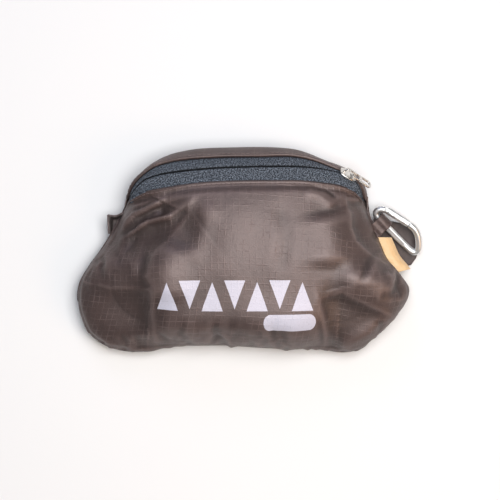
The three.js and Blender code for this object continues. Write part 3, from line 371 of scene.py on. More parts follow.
# %% A smooth line through points
def through(knots, place):
    """A centripetal Catmull-Rom curve through knots (count x ... x 3), at places counted in
    knots. Between two knots it is the cubic whose end slopes come from the four nearest knots,
    each step weighted by the square root of its length."""
    ends = np.concatenate([2 * knots[:1] - knots[1:2], knots, 2 * knots[-1:] - knots[-2:-1]])
    first = np.clip(place.astype(int), 0, len(knots) - 2)
    share = (place - first).reshape((-1,) + (1,) * (knots.ndim - 1))
    a, b, c, d = (ends[first + k] for k in range(4))
    ab, bc, cd = (
        np.sqrt(np.linalg.norm(q - p, axis=-1, keepdims=True)) for p, q in ((a, b), (b, c), (c, d))
    )
    leave = ((b - a) / ab - (c - a) / (ab + bc) + (c - b) / bc) * bc
    arrive = ((c - b) / bc - (d - b) / (bc + cd) + (d - c) / cd) * bc
    return (
        b + leave * share
        + (3 * (c - b) - 2 * leave - arrive) * share**2
        + (2 * (b - c) + leave + arrive) * share**3
    )


def smooth_line(points, steps=40):
    """Many points of the curve through a few."""
    knots = np.asarray(points, float)
    return through(knots, np.linspace(0, len(knots) - 1, steps * (len(knots) - 1) + 1))


def at_share(line, share):
    """Points of a line at shares of its length."""
    run = np.append(0, np.cumsum(np.linalg.norm(np.diff(line, axis=0), axis=1)))
    return np.stack([np.interp(share * run[-1], run, line[:, k]) for k in range(3)], -1)


def seam_line(rows):
    """A line of the pocket in mm, from rows of shares."""
    return smooth_line([np.array([*row, 0][:3]) * HALF for row in rows])


bottom_seam = seam_line(BOTTOM_SEAM)
left_to_front, left_to_back = (seam_line(LEFT_SEAM + r) for r in (LEFT_TO_FRONT, LEFT_TO_BACK))
right_to_front, right_to_back = (
    seam_line(RIGHT_SEAM + r) for r in (RIGHT_TO_FRONT, RIGHT_TO_BACK)
)
band_lines = [seam_line(line) for line, _, _ in BAND]
print("Bottom seam:", round(np.linalg.norm(np.diff(bottom_seam, axis=0), axis=1).sum()), "mm")

# %% [markdown]
# ## The skin
#
# The stuffed pouch is one closed skin. Along a row it runs from the left seam to the right
# one, and round it runs from the bottom seam over the front, the zip band and the shoulder to
# the underside. The front is the surface that its four edges span, lifted by a bulge that is
# steep at the seams and flat in the middle, as cloth over a full stuffing is.

# %% The skin as a function of two parameters
def bulge(share, squareness):
    """0 at both ends and 1 between them: the height of a rounded box of that squareness."""
    return np.sqrt(np.clip(1 - np.abs(2 * share - 1) ** squareness, 0, None))


def smoothstep(x, low, high):
    """0 below low, 1 above high and a soft S between them."""
    share = np.clip((x - low) / (high - low), 0, 1)
    return share * share * (3 - 2 * share)


def front_rise(up):
    """How much of its full height the front has, from the bottom seam to the zip."""
    below = np.clip((CROWN_PLACE - up) / CROWN_PLACE, 0, 1)
    above = np.clip((up - CROWN_PLACE) / (1 - CROWN_PLACE), 0, 1)
    return np.sqrt(1 - below**CROWN_SQUARENESS) * (1 - (1 - BAND[0][2]) * above**2)


def spanned(across, up, bottom, top, left, right):
    """The surface between four edges: the mean of its two rulings, less its corners."""
    u, v = across[None, :, None], up[:, None, None]
    l0, l1, r0, r1 = (at_share(s, np.array(e)) for s in (left, right) for e in (0.0, 1.0))
    return (
        (1 - v) * bottom[None] + v * top[None]
        + (1 - u) * at_share(left, up)[:, None] + u * at_share(right, up)[:, None]
        - (1 - u) * (1 - v) * l0 - u * (1 - v) * r0 - (1 - u) * v * l1 - u * v * r1
    )


def front_skin(across, up):
    """The front, spanned between the bottom seam and the zip and lifted by its bulge."""
    top = at_share(band_lines[0], across)
    top[:, 2] = BAND[0][1] * POUCH_DEPTH
    bottom = at_share(bottom_seam, across)
    points = spanned(across, up, bottom, top, left_to_front, right_to_front)
    lift = bulge(across, CROWN_SQUARENESS) * front_rise(up)[:, None]
    points[..., 2] += (POUCH_DEPTH - points[..., 2]) * lift
    return points


def band_skin(index, across):
    """One line of the zip band at its height: low at the side seams and high between them."""
    line, end, crown = BAND[index]
    points = at_share(band_lines[index], across)
    ends = end * POUCH_DEPTH
    points[:, 2] = ends + (POUCH_DEPTH - ends) * crown * bulge(across, CROWN_SQUARENESS)
    return points


def under_skin(across, down):
    """The underside, from the shoulder down to the bottom seam, pressed flat on the table."""
    bottom, top = at_share(bottom_seam, across), band_skin(3, across)
    points = spanned(across, 1 - down, bottom, top, left_to_back, right_to_back)
    press = REST_PRESS * bulge(across, REST_SQUARENESS) * bulge(down, REST_SQUARENESS)[:, None]
    points[..., 2] *= 1 - smoothstep(press, 0, 1)
    return points


LOWER_EDGE, MIDDLE, UPPER_EDGE, SHOULDER_EDGE, BACK_SEAM = 1.0, 1.5, 2.0, 3.0, 4.0
BAND_ROUNDS = np.array([0.82, 0.91, LOWER_EDGE, MIDDLE, UPPER_EDGE, SHOULDER_EDGE, 3.05, 3.14])


def skin(across, rounds):
    """The pouch's skin: rounds is 0 at the bottom seam, 1 at the zip's lower edge, 2 at its
    upper edge, 3 at the shoulder and 4 at the bottom seam again."""
    points = np.zeros((len(rounds), len(across), 3))
    front, under = rounds <= LOWER_EDGE, rounds >= SHOULDER_EDGE
    band = ~(front | under)
    if front.any():
        points[front] = front_skin(across, rounds[front])
    if under.any():
        points[under] = under_skin(across, rounds[under] - SHOULDER_EDGE)
    if band.any():
        near_zip, near_shoulder = BAND_ROUNDS[:2], BAND_ROUNDS[-2:] - SHOULDER_EDGE
        knots = np.concatenate([
            front_skin(across, near_zip),
            np.stack([band_skin(i, across) for i in range(4)]),
            under_skin(across, near_shoulder),
        ])
        place = np.interp(rounds[band], BAND_ROUNDS, np.arange(len(BAND_ROUNDS)))
        points[band] = through(knots, place)
    return points


def crowded(count):
    """Shares from 0 to 1 that lie closer together towards both ends."""
    return (1 - np.cos(np.linspace(0, np.pi, count))) / 2


whole = skin(crowded(60), np.linspace(0, BACK_SEAM, 121))
print("Skin:", whole.reshape(-1, 3).min(0).round(1), "to", whole.reshape(-1, 3).max(0).round(1))

# %% [markdown]
# ## The folds of the front
#
# The cloth lies over a lumpy, folded load, so its front has a flat middle with creases round
# it, a dent low on the right and sharp little folds by the corner tab. Sculpting would do it,
# but a table of lines says the same in words: a ridge or hollow is a soft bell across its
# line, and a step lets the cloth to the right of its line fall away.

# %% Lines of the folds, in mm on the table
RIDGES = [  # width, rise, points
    (1.5, 2.2, [(-82, 9), (-77, 13.5), (-67.5, 21.5), (-56, 26.5), (-46, 31)]),
    (4.0, 2.4, [(-80, 14), (-76, 18), (-66, 26), (-54, 31), (-46, 34)]),
    (1.4, 2.0, [(-77, 8), (-72, 11), (-60, 17.5), (-42, 21)]),
    (2.6, 1.5, [(-70, 14), (-60, 20.5), (-50, 24)]),
    (1.5, 1.2, [(-66, 31), (-56, 34), (-44, 34)]),
    (1.3, 1.0, [(-60, 36), (-48, 38), (-38, 36)]),
    (9.0, 2.0, [(-90, -6), (-74, -8), (-60, -10)]),
    (1.8, -1.2, [(40, 40), (50, 36), (57, 30)]),
    (3.5, 1.2, [(36, 36), (46, 32), (56, 24)]),
    (7.0, 2.4, [(72, -12), (93, -22)]),
    (8.0, 4.5, [(54, -15), (64, -18), (82, -24), (100, -27), (112, -29)]),
    (2.0, 0.9, [(99, -22), (82, -15)]),
    (2.6, -1.0, [(99, -26), (80, -29)]),
    (4.0, 3.4, [(54, -65), (60, -61), (76, -51), (91, -40), (96, -36)]),
    (6.0, 1.0, [(-20, 30), (-24, 10), (-32, -12)]),
    (5.0, -0.8, [(20, 32), (26, 8), (22, -18)]),
    (15.0, 5.0, [(-58, -50), (-10, -50), (20, -50), (56, -49)]),
    (13.0, 3.0, [(49, 24), (52, 6), (52, -14)]),
    (12.0, 2.2, [(-42, 6), (-46, -12), (-46, -34)]),
]
STEPS = [  # width, fall, reach, points; the cloth falls to the right of the run of the points
    (14.0, 7.0, 60, [(-30, 52), (-30, 35), (-34, 21), (-45, 7), (-55, -4), (-58, -17),
                    (-55, -22), (-56, -38), (-54, -60), (-54, -80)]),
    (4.5, 5.5, 22, [(-94, 3), (-77, 8.5), (-66, 13), (-56, 17), (-46, 19.5), (-34, 27), (-24, 34)]),
    (2.0, 3.0, 7, [(-86, 6), (-77, 12.5), (-67, 20), (-56, 25.5), (-42, 31)]),
    (9.0, 5.0, 60, [(-120, -18), (-93, -21), (-83, -24), (-57, -25), (-40, -27)]),
    (5.0, 6.0, 26, [(112, -24), (98, -16), (83.5, -8), (74, -1), (68, 4.5), (65, 12.5),
                    (64.5, 22), (60, 36), (52, 48)]),
    (5.0, 4.0, 26, [(38, -32), (45, -31), (60, -27), (80, -36), (94, -42), (106, -48)]),
    (4.0, 3.0, 22, [(51, -72), (50.5, -58), (49, -44), (45, -28), (42, -20)]),
    (2.0, 3.5, 8, [(-18, -47), (-14, -50), (-10, -54), (-9, -61)]),
    (1.8, 2.6, 7, [(-52, -51), (-46, -54), (-36, -55), (-28, -53)]),
    (1.6, 2.2, 6, [(2, -53), (10, -56), (20, -55)]),
]
CREASE = 0.45  # mm, how sharply a step begins
RIDGE_FADE, STEP_FADE = 0.25, 0.3  # the share of a line over which each end fades


def beside(plan, line):
    """For places in plan: the distance to a line of straight stretches, the share of the
    line's length at the nearest point, and 1 to the right of its run or -1 to its left."""
    line = np.asarray(line, float)
    runs = np.append(0, np.cumsum(np.linalg.norm(np.diff(line, axis=0), axis=1)))
    distance = np.full(plan.shape[:-1], np.inf)
    share, side = np.zeros_like(distance), np.zeros_like(distance)
    for start, end, run in zip(line[:-1], line[1:], runs):
        step, here = end - start, plan - start
        t = np.clip((here @ step) / (step @ step), 0, 1)
        far = np.linalg.norm(here - t[..., None] * step, axis=-1)
        turned = here[..., 0] * step[1] - here[..., 1] * step[0]
        nearer = far < distance
        distance = np.where(nearer, far, distance)
        share = np.where(nearer, (run + t * np.linalg.norm(step)) / runs[-1], share)
        side = np.where(nearer, np.sign(turned), side)
    return distance, share, side


def fold_rise(plan):
    """How far the folds lift the cloth, in mm, at places in plan."""
    rise = np.zeros(plan.shape[:-1])
    for width, height, line in RIDGES:
        distance, share, _ = beside(plan, line)
        ends = smoothstep(share, 0, RIDGE_FADE) * smoothstep(1 - share, 0, RIDGE_FADE)
        rise += height * ends * np.exp(-((distance / width) ** 2))
    for width, fall, reach, line in STEPS:
        distance, share, side = beside(plan, line)
        past = CREASE * np.logaddexp(0, distance * side / CREASE)
        ends = smoothstep(share, 0, STEP_FADE) * smoothstep(1 - share, 0, STEP_FADE)
        rise -= fall * ends * (1 - np.exp(-past / width)) * np.exp(-((past / reach) ** 2))
    return rise


print("Folds:", len(RIDGES), "ridges and hollows,", len(STEPS), "steps")

# %% [markdown]
# ## Gathers along the seams
#
# Where two layers are sewn together the stitches take up a little cloth, so short folds run
# into the seam, each with its own width, lean and length. They are drawn from one seeded
# source of numbers, so every run gives the same cloth.

# %% Gathers
def gathers(along, away, pitch, reach, height, seed):
    """Short folds that run into a seam. along and away are grids in mm, along the seam and away
    from it. Each fold is a bell across, widens and fades with the distance, and leans."""
    draw = np.random.default_rng(seed)
    rise = np.zeros_like(along)
    place = along.min()
    while place < along.max():
        width, length = pitch * draw.uniform(0.18, 0.42), reach * draw.uniform(0.45, 1.3)
        lean, high = draw.uniform(-0.45, 0.45), height * draw.choice([-1, 1]) * draw.uniform(0.4, 1)
        across = (along - place - lean * away) / (width * (1 + away / length))
        rise += high * np.exp(-(across**2)) * np.exp(-((away / length) ** 2))
        place += pitch * draw.uniform(0.6, 1.5)
    return rise * smoothstep(away, 0, 1.4)


def soft_waves(plan, longest, height, seed, count=9):
    """Slack in the cloth: a sum of plane waves with seeded directions, lengths and phases."""
    draw = np.random.default_rng(seed)
    rise = np.zeros(plan.shape[:-1])
    for _ in range(count):
        turn, length = draw.uniform(0, np.pi), longest * draw.uniform(0.4, 1)
        run = plan @ np.array([np.cos(turn), np.sin(turn)])
        rise += length / longest * np.sin(2 * np.pi * run / length + draw.uniform(0, 2 * np.pi))
    return height * rise / np.sqrt(count)


print("Gathers and waves are seeded")

# %% [markdown]
# ## The front panel
#
# The front is the piece that the eye goes to. It is the skin with its folds, gathers and a
# hem at the zip: there the cloth is turned under and topstitched, so its edge is a little
# thicker, has a groove where the thread pulls it down, and rolls over onto the tape.

# %% The front panel
FRONT_ROWS, FRONT_COLUMNS = 200, 300
HEM_WIDTH, HEM_RISE, HEM_SLOPE = 4.2, 0.12, 1.2
STITCH_INSET, STITCH_GROOVE, GROOVE_WIDTH = 2.1, 0.16, 0.4
EDGE_ROLL, TAPE_DEPTH = 1.3, 1.5
ZIP_CALM = 12.0  # mm from the zip over which the folds and the slack come in
CLOTH_THICKNESS = 0.45  # two thread layers and the coating, drawn thick enough to close gaps


def seam_distances(points):
    """Distances in mm from the four edges of a grid, along its rows and columns."""
    places = cloth_places(points)
    left = places[..., 0] - places[:, :1, 0]
    bottom = places[..., 1] - places[:1, :, 1]
    return left, places[:, -1:, 0] - places[..., 0], bottom, places[-1:, :, 1] - places[..., 1]


def front_folds(points, across, up):
    """How far the folds and the slack lift the front. They fade towards its edges."""
    held = np.minimum(1, bulge(across, CROWN_SQUARENESS) * front_rise(up)[:, None] * 1.6)
    held *= smoothstep(seam_distances(points)[3], 0, ZIP_CALM)
    plan = points[..., :2]
    return held * (fold_rise(plan) + soft_waves(plan, 46, 0.35, seed=4))


def front_details(points, rise):
    """Lifts the front by its folds and its gathers, and shapes the hem at its zip edge."""
    left, right, bottom, zip_edge = seam_distances(points)
    along_bottom = np.broadcast_to(cloth_places(points)[:1, :, 0], left.shape)
    along_side = cloth_places(points)[..., 1]
    rise = rise + gathers(along_bottom, bottom, 7.0, 9.0, 1.2, seed=11)
    rise += gathers(along_side, left, 8.0, 9.0, 0.55, seed=12)
    rise += gathers(along_side, right, 8.0, 9.0, 0.55, seed=13)
    rise += gathers(along_bottom, zip_edge, 6.0, 7.0, 0.16, seed=14)
    rise += HEM_RISE * (1 - smoothstep(zip_edge, HEM_WIDTH - HEM_SLOPE, HEM_WIDTH))
    rise -= STITCH_GROOVE * np.exp(-(((zip_edge - STITCH_INSET) / GROOVE_WIDTH) ** 2))
    rise -= TAPE_DEPTH * np.clip(1 - zip_edge / EDGE_ROLL, 0, 1) ** 2
    return points + outward(points) * rise[..., None]


# %% [markdown]
# ## Letting the cloth settle
#
# A sewn panel is always a little longer than the space it spans, so it buckles between its
# seams. Such folds can be drawn by hand, but a cloth simulation finds them by itself: a coarse
# copy of the panel is held along its edges, its cloth is given some spare length and a light
# pressure from inside, and it settles for twenty steps without gravity. How far each point
# moved, within a cap, is then added to the fine grid. The copy is ten times the real size,
# where Blender's usual stiffnesses suit the size of a face.

# %% Letting the cloth settle
SETTLE_ROWS, SETTLE_COLUMNS, SETTLE_STEPS, SETTLE_SCALE = 84, 130, 20, 10.0
SPARE_CLOTH, SETTLE_PRESSURE, SETTLE_CAP = 0.05, 2.0, 2.0


def settled(points):
    """How far a sheet of points in mm moves outwards, in mm, as it settles."""
    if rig.quick():
        return np.zeros(points.shape[:2])
    piece = surface("settling_cloth", points * SETTLE_SCALE)
    rim = np.ones(points.shape[:2], bool)
    rim[1:-1, 1:-1] = False
    piece.vertex_groups.new(name="held").add(np.flatnonzero(rim).tolist(), 1.0, "REPLACE")
    cloth = piece.modifiers.new("settle", "CLOTH")
    cloth.settings.quality = 6
    cloth.settings.mass = 0.03
    cloth.settings.tension_stiffness = cloth.settings.compression_stiffness = 15
    cloth.settings.shear_stiffness = 4
    cloth.settings.bending_stiffness = 0.05
    cloth.settings.shrink_min = -SPARE_CLOTH
    cloth.settings.use_pressure = True
    cloth.settings.uniform_pressure_force = SETTLE_PRESSURE
    cloth.settings.vertex_group_mass = "held"
    cloth.settings.effector_weights.gravity = 0
    cloth.collision_settings.use_collision = False
    cloth.point_cache.frame_end = SETTLE_STEPS
    for step in range(1, SETTLE_STEPS + 1):
        bpy.context.scene.frame_set(step)
    shaped = piece.evaluated_get(bpy.context.evaluated_depsgraph_get()).data
    places = np.zeros(len(shaped.vertices) * 3)
    shaped.vertices.foreach_get("co", places)
    moved = places.reshape(points.shape) / (MM * SETTLE_SCALE) - points
    bpy.context.scene.frame_set(1)
    bpy.data.objects.remove(piece)
    return SETTLE_CAP * np.tanh((moved * outward(points)).sum(-1) / SETTLE_CAP)


def spread(coarse, across, up):
    """A coarse, even grid of numbers at the places of a finer one, with its corners rounded by
    averaging each value with its neighbours."""
    rows, columns = (np.linspace(0, 1, n) for n in coarse.shape)
    wide = np.stack([np.interp(across, columns, row) for row in coarse])
    fine = np.stack([np.interp(up, rows, column) for column in wide.T], 1)
    for _ in range(3):
        for axis in (0, 1):
            padded = np.pad(fine, [(1, 1) if k == axis else (0, 0) for k in (0, 1)], "edge")
            parts = [np.take(padded, np.arange(k, k + fine.shape[axis]), axis) for k in (0, 1, 2)]
            fine = (parts[0] + 2 * parts[1] + parts[2]) / 4
    return fine


front_across = crowded(FRONT_COLUMNS)
front_up = np.linspace(0, 1, FRONT_ROWS) ** 1.35
front_bare = skin(front_across, front_up)
even_across, even_up = np.linspace(0, 1, SETTLE_COLUMNS), np.linspace(0, 1, SETTLE_ROWS)
even_bare = skin(even_across, even_up)
even_folds = front_folds(even_bare, even_across, even_up)
buckles = settled(even_bare + outward(even_bare) * even_folds[..., None])
front_buckles = spread(buckles, front_across, front_up)
front_buckles *= smoothstep(np.min(seam_distances(front_bare), axis=0), 2.5, 9)
front_rises = front_folds(front_bare, front_across, front_up) + front_buckles
front_grid = front_details(front_bare, front_rises)


def creases(bare, shaped):
    """How deep each point lies in a crease, from -1 on a ridge to 1 in a hollow: how far it is
    below the mean of its surroundings, first about 1.5 mm and then about 4 mm around it. The
    cloth's finish reads it to paint shade into the hollows and a highlight onto the ridges."""
    height = ((shaped - bare) * outward(bare)).sum(-1)
    near_zip = np.minimum(*[seam_distances(bare)[k] for k in (2, 3)])
    depth, soft = np.zeros_like(height), height
    for rounds, weight in ((4, 9.0), (24, 2.2)):
        for _ in range(rounds):
            padded = np.pad(soft, 1, "edge")
            beneath_and_above = (padded[:-2] + padded[2:])[:, 1:-1]
            left_and_right = (padded[:, :-2] + padded[:, 2:])[1:-1]
            soft = beneath_and_above / 4 + left_and_right / 4
        depth += weight * (soft - height)
    return np.tanh(depth) * smoothstep(near_zip, 1, 7)


print("The cloth settled by", buckles.min().round(2), "to", buckles.max().round(2), "mm")
pocket_front = surface(
    "pocket_front", front_grid, cloth_places(front_bare), front_bare[..., :2]
)
paint(pocket_front, "crease", creases(front_bare, front_grid))
print("Front panel:", len(pocket_front.data.polygons), "faces")

# %% [markdown]
# ## The back panel
#
# One piece of cloth runs from the zip's far edge over the shoulder and under the pouch, where
# its weight presses it flat on the table. It meets the front at the side and bottom seams.

# %% The back panel
BACK_ROWS, BACK_COLUMNS = 170, 260
BACK_ROLL = 0.5  # mm over which the cloth rolls down onto the tape


def back_details(points):
    """Gathers at the seams and the hem at the zip; what rests on the table stays flat."""
    left, right, zip_edge, bottom = seam_distances(points)
    along_bottom = np.broadcast_to(cloth_places(points)[-1:, :, 0], left.shape)
    along_side = cloth_places(points)[..., 1]
    free = smoothstep(points[..., 2], 0.5, 5)
    rise = soft_waves(points[..., :2], 40, 0.3, seed=5) * free * smoothstep(zip_edge, 0, ZIP_CALM)
    rise += free * gathers(along_bottom, bottom, 7.0, 8.0, 0.6, seed=21)
    rise += free * gathers(along_side, left, 8.0, 8.0, 0.5, seed=22)
    rise += free * gathers(along_side, right, 8.0, 8.0, 0.5, seed=23)
    rise += free * gathers(along_bottom, zip_edge, 6.0, 7.0, 0.16, seed=24)
    rise += HEM_RISE * (1 - smoothstep(zip_edge, HEM_WIDTH - HEM_SLOPE, HEM_WIDTH))
    rise -= 0.5 * STITCH_GROOVE * np.exp(-(((zip_edge - STITCH_INSET) / GROOVE_WIDTH) ** 2))
    rise -= TAPE_DEPTH * np.clip(1 - zip_edge / BACK_ROLL, 0, 1) ** 2
    moved = points + outward(points) * rise[..., None]
    moved[..., 2] = np.maximum(moved[..., 2], 0)
    return moved


back_across = crowded(BACK_COLUMNS)
back_rounds = np.append(
    np.linspace(UPPER_EDGE, SHOULDER_EDGE, BACK_ROWS // 3, endpoint=False),
    SHOULDER_EDGE + crowded(BACK_ROWS - BACK_ROWS // 3),
)
back_bare = skin(back_across, back_rounds)
back_grid = back_details(back_bare)
pocket_back = surface("pocket_back", back_grid, cloth_places(back_bare), back_bare[..., :2])
paint(pocket_back, "crease", creases(back_bare, back_grid))
print("Back panel:", len(pocket_back.data.polygons), "faces")

# %% A wall for a cloth surface
def give_wall(piece, thickness, offset=-1.0):
    """A live Solidify: offset -1 puts the wall under the surface, 0 on both sides of it."""
    wall = piece.modifiers.new("wall", "SOLIDIFY")
    wall.thickness, wall.offset = thickness * MM, offset
    wall.use_rim = True


for panel in (pocket_front, pocket_back):
    give_wall(panel, CLOTH_THICKNESS)
print("Cloth wall:", CLOTH_THICKNESS, "mm")

# %% [markdown]
# ## The folded load
#
# Inside lies the rest of the backpack, folded in layers. Hardly any of it can be seen. It is
# the skin again, drawn in, with a ripple for each layer.

# %% The folded load
LOAD_INSET, LOAD_HEADROOM, LOAD_FLOOR = 18.0, 17.0, 2.5
LAYERS, LAYER_RIPPLE = 5, 1.0
load_rounds = np.linspace(0, BACK_SEAM, 80, endpoint=False)
load_grid = skin(np.linspace(0.04, 0.96, 60), load_rounds).transpose(1, 0, 2)
ripple = LAYER_RIPPLE * (1 + np.cos(2 * np.pi * LAYERS * load_grid[..., 2] / POUCH_DEPTH)) / 2
reach = np.linalg.norm(load_grid[..., :2], axis=-1)
load_grid[..., :2] *= 1 - (LOAD_INSET / HALF[:2]) - (ripple / np.maximum(reach, 20))[..., None]
load_grid[..., 2] *= (POUCH_DEPTH - LOAD_HEADROOM - LOAD_FLOOR) / POUCH_DEPTH
load_grid[..., 2] += LOAD_FLOOR
cap = load_grid[[0, -1]].mean(1, keepdims=True)
load_grid = np.concatenate([0 * load_grid[:1] + cap[0], load_grid, 0 * load_grid[:1] + cap[1]])
folded_load = seal(surface("folded_load", load_grid, closed=True))
print("Folded load:", len(folded_load.data.polygons), "faces")

# %% [markdown]
# ## The zip
#
# Two woven tapes run side by side with the nylon coils on their hidden side, so from outside
# the zip is a plain dark band with a thin slit along its middle. Each tape is the skin again,
# a little below the cloth, and swells where the coil lies under it before it rolls into the
# slit.

# %% The zip tapes
TAPE_WALL, TAPE_SLIT, TAPE_TUCK = 0.9, 0.5, 0.07
COIL_SWELL, COIL_SWELL_WIDTH, COIL_OFFSET = 0.4, 1.3, 1.9
SLIT_ROLL, SLIT_ROLL_WIDTH = 0.8, 0.8
BAND_WIDTH = 18.0  # mm, about what the two tapes show together
LOWER_TAPE_MARK = 10  # added to the lower tape's map, whose edge by the cloth gets no painted shade
TAPE_ENDS = (0.004, 0.996)
tape_across = np.interp(crowded(260), (0, 1), TAPE_ENDS)


def tape(name, rounds, slit_first):
    """A strip of the skin below the cloth, swollen over the coil and rolled at the slit."""
    points = skin(tape_across, rounds)
    edges = seam_distances(points)
    from_slit = edges[2] if slit_first else edges[3]
    rise = COIL_SWELL * np.exp(-(((from_slit - COIL_OFFSET) / COIL_SWELL_WIDTH) ** 2))
    rise -= SLIT_ROLL * np.clip(1 - from_slit / SLIT_ROLL_WIDTH, 0, 1) ** 2
    moved = points + outward(points) * (rise - TAPE_DEPTH)[..., None]
    from_edge = edges[3] if slit_first else edges[2] + LOWER_TAPE_MARK
    piece = surface(name, moved, cloth_places(points), np.stack([from_slit, from_edge], -1))
    give_wall(piece, TAPE_WALL)
    return piece


slit_half = 0.5 * TAPE_SLIT / BAND_WIDTH
zip_tape_front = tape(
    "zip_tape_front", np.linspace(LOWER_EDGE - TAPE_TUCK / 3, MIDDLE - slit_half, 30), False
)
zip_tape_back = tape(
    "zip_tape_back", np.linspace(MIDDLE + slit_half, UPPER_EDGE + TAPE_TUCK, 30), True
)
print("Zip tapes:", len(zip_tape_front.data.polygons) * 2, "faces")

# %% [markdown]
# ## The zip's ends
#
# At each end of the zip the side seam opens out to the two edges of the band. A strip of
# cloth closes that corner. It spans the two lines of the seam and goes on under the tapes, so
# it is made of a ruled part between the lines and of a part of the skin, set deeper.

# %% The zip's ends
END_SPLIT, END_SINK, END_REACH, END_DEPTH, END_WALL = 0.8, 0.5, 0.05, 2.7, 0.5


def zip_end(name, to_front, to_back, side):
    """The cloth that closes the corner at one end of the zip; side is 1 at the right."""
    share, between = np.linspace(END_SPLIT, 1, 30), np.linspace(0, 1, 16)
    from_line, to_line = at_share(to_front, share), at_share(to_back, share)
    ruled = from_line[:, None] + (to_line - from_line)[:, None] * between[:, None]
    ruled[..., 0] -= side * END_SINK
    inwards = np.linspace(0.25 * END_REACH, END_REACH, 8)
    across = 1 - inwards if side > 0 else inwards
    tucked = skin(np.sort(across), LOWER_EDGE + (SHOULDER_EDGE - LOWER_EDGE) * between)
    tucked = (tucked - END_DEPTH * outward(tucked)).transpose(1, 0, 2)
    grid = np.concatenate([ruled, tucked[::-1] if side > 0 else tucked])
    if outward(grid)[..., 0].mean() * side < 0:
        grid = grid[:, ::-1]
    piece = surface(name, grid, cloth_places(grid))
    give_wall(piece, END_WALL)
    return piece


zip_end_left = zip_end("zip_end_left", left_to_front, left_to_back, -1)
zip_end_right = zip_end("zip_end_right", right_to_front, right_to_back, 1)
print("Zip ends:", len(zip_end_left.data.polygons) + len(zip_end_right.data.polygons), "faces")

# %% [markdown]
# ## The carabiner
#
# It is an aluminium rod bent to a D, with its long side stamped flat, and a sprung gate. A
# circle carried along the rod's line gives the bent rod; where the stamp pressed it, the
# circle is cut off level. It hangs in the cloth loop, so its place follows from the loop's.

# %% The carabiner's place
CARABINER_LENGTH, CARABINER_WIDTH, ROD = 40.0, 18.5, 4.2
CARABINER_ROLL, CARABINER_DIP, CARABINER_TURN = 24.0, 8.5, -37.5  # degrees
LOOP_REACH, LOOP_DROP, LOOP_TURN, LOOP_PLACE, HELD_PLACE = 6.2, 3.3, 28.0, 0.23, 0.775
ROD_LINE = [  # shares of the length and width
    (0.075, 0.375), (0.19, 0.357), (0.275, 0.27), (0.355, 0.12), (0.418, -0.04), (0.447, -0.19),
    (0.425, -0.29), (0.36, -0.325), (0.18, -0.29), (-0.05, -0.225), (-0.25, -0.165),
    (-0.375, -0.115), (-0.437, -0.035), (-0.447, 0.075), (-0.415, 0.185), (-0.36, 0.262),
]


def turn_about(axis, degrees):
    """The matrix of a turn about x, y or z (0, 1 or 2)."""
    c, s = np.cos(np.radians(degrees)), np.sin(np.radians(degrees))
    matrix = np.eye(3)
    i, j = [(1, 2), (2, 0), (0, 1)][axis]
    matrix[i, i], matrix[j, j], matrix[i, j], matrix[j, i] = c, c, -s, s
    return matrix


def seam_place(up):
    """The point of the right seam at a height in plan, a share of half the pocket's height."""
    places = at_share(right_to_front, np.linspace(0, 1, 201))
    return places[np.argmin(np.abs(places[:, 1] - up * HALF[1]))]


rod_line = smooth_line([(a * CARABINER_LENGTH, b * CARABINER_WIDTH, 0) for a, b in ROD_LINE])
carabiner_turn = (
    turn_about(2, CARABINER_TURN) @ turn_about(1, CARABINER_DIP) @ turn_about(0, CARABINER_ROLL)
)
loop_root = seam_place(LOOP_PLACE)
held_at = loop_root + turn_about(2, LOOP_TURN) @ np.array([LOOP_REACH, 0, -LOOP_DROP])
carabiner_place = held_at - carabiner_turn @ at_share(rod_line, np.array(HELD_PLACE))
print("Carabiner at", carabiner_place.round(2), "- its solid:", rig.box("carabiner_body"))

# %% The bent rod
ROD_STEPS, ROD_SIDES = 220, 32
SPINE_FLAT, SPINE_LENGTH = 0.5, 18.4
SPINE_START, SPINE_END, SPINE_MIDDLE = (-0.25, -0.165), (0.36, -0.325), 0.42
END_ROUND = 0.6


def sweep(line, radius, up, sides=24, level=None, tall=None, power=1.0):
    """A circle carried along a line, square to it. radius is one number or one for each point,
    up is a direction that the line never takes, and level cuts the top off at that height.
    tall is the half height where it isn't the radius, and power below 1 squares the section."""
    ahead = unit(np.gradient(line, axis=0))
    side = unit(np.cross(np.broadcast_to(np.asarray(up, float), ahead.shape), ahead))
    over = np.cross(ahead, side)
    angle = np.linspace(0, 2 * np.pi, sides, endpoint=False)
    radius = np.broadcast_to(radius, len(line))[:, None]
    wide = radius * powered(np.cos(angle), power)
    high = (radius if tall is None else tall) * powered(np.sin(angle), power)
    if level is not None:
        high = np.minimum(high, level[:, None])
    return line[:, None] + wide[..., None] * side[:, None] + high[..., None] * over[:, None]


def closed_ends(rings):
    """Adds a ring at the middle of each end, which seal() merges to one point."""
    ends = rings[[0, -1]].mean(1, keepdims=True) + 0 * rings[[0, -1]]
    return np.concatenate([ends[:1], rings, ends[1:]])


rod_path = at_share(rod_line, np.linspace(0, 1, ROD_STEPS))
rod_length = np.linalg.norm(np.diff(rod_line, axis=0), axis=1).sum()
from_end = rod_length * np.minimum(np.linspace(0, 1, ROD_STEPS), np.linspace(1, 0, ROD_STEPS))
rod_radius = ROD / 2 - END_ROUND * (1 - np.sqrt(1 - np.clip(1 - from_end / END_ROUND, 0, 1) ** 2))
spine = [
    np.array([a * CARABINER_LENGTH, b * CARABINER_WIDTH, 0]) for a, b in (SPINE_START, SPINE_END)
]
spine_middle = spine[0] + SPINE_MIDDLE * (spine[1] - spine[0])
off_spine = np.linalg.norm(rod_path - spine_middle, axis=1)
pressed = SPINE_FLAT * (1 - smoothstep(off_spine, SPINE_LENGTH / 2 - 1, SPINE_LENGTH / 2 + 0.6))
rod_rings = sweep(rod_path, rod_radius, (0, 0, 1), ROD_SIDES, ROD / 2 - pressed)
carabiner_rod = seal(surface(
    "carabiner_rod", closed_ends(rod_rings) @ carabiner_turn.T + carabiner_place, closed=True
))
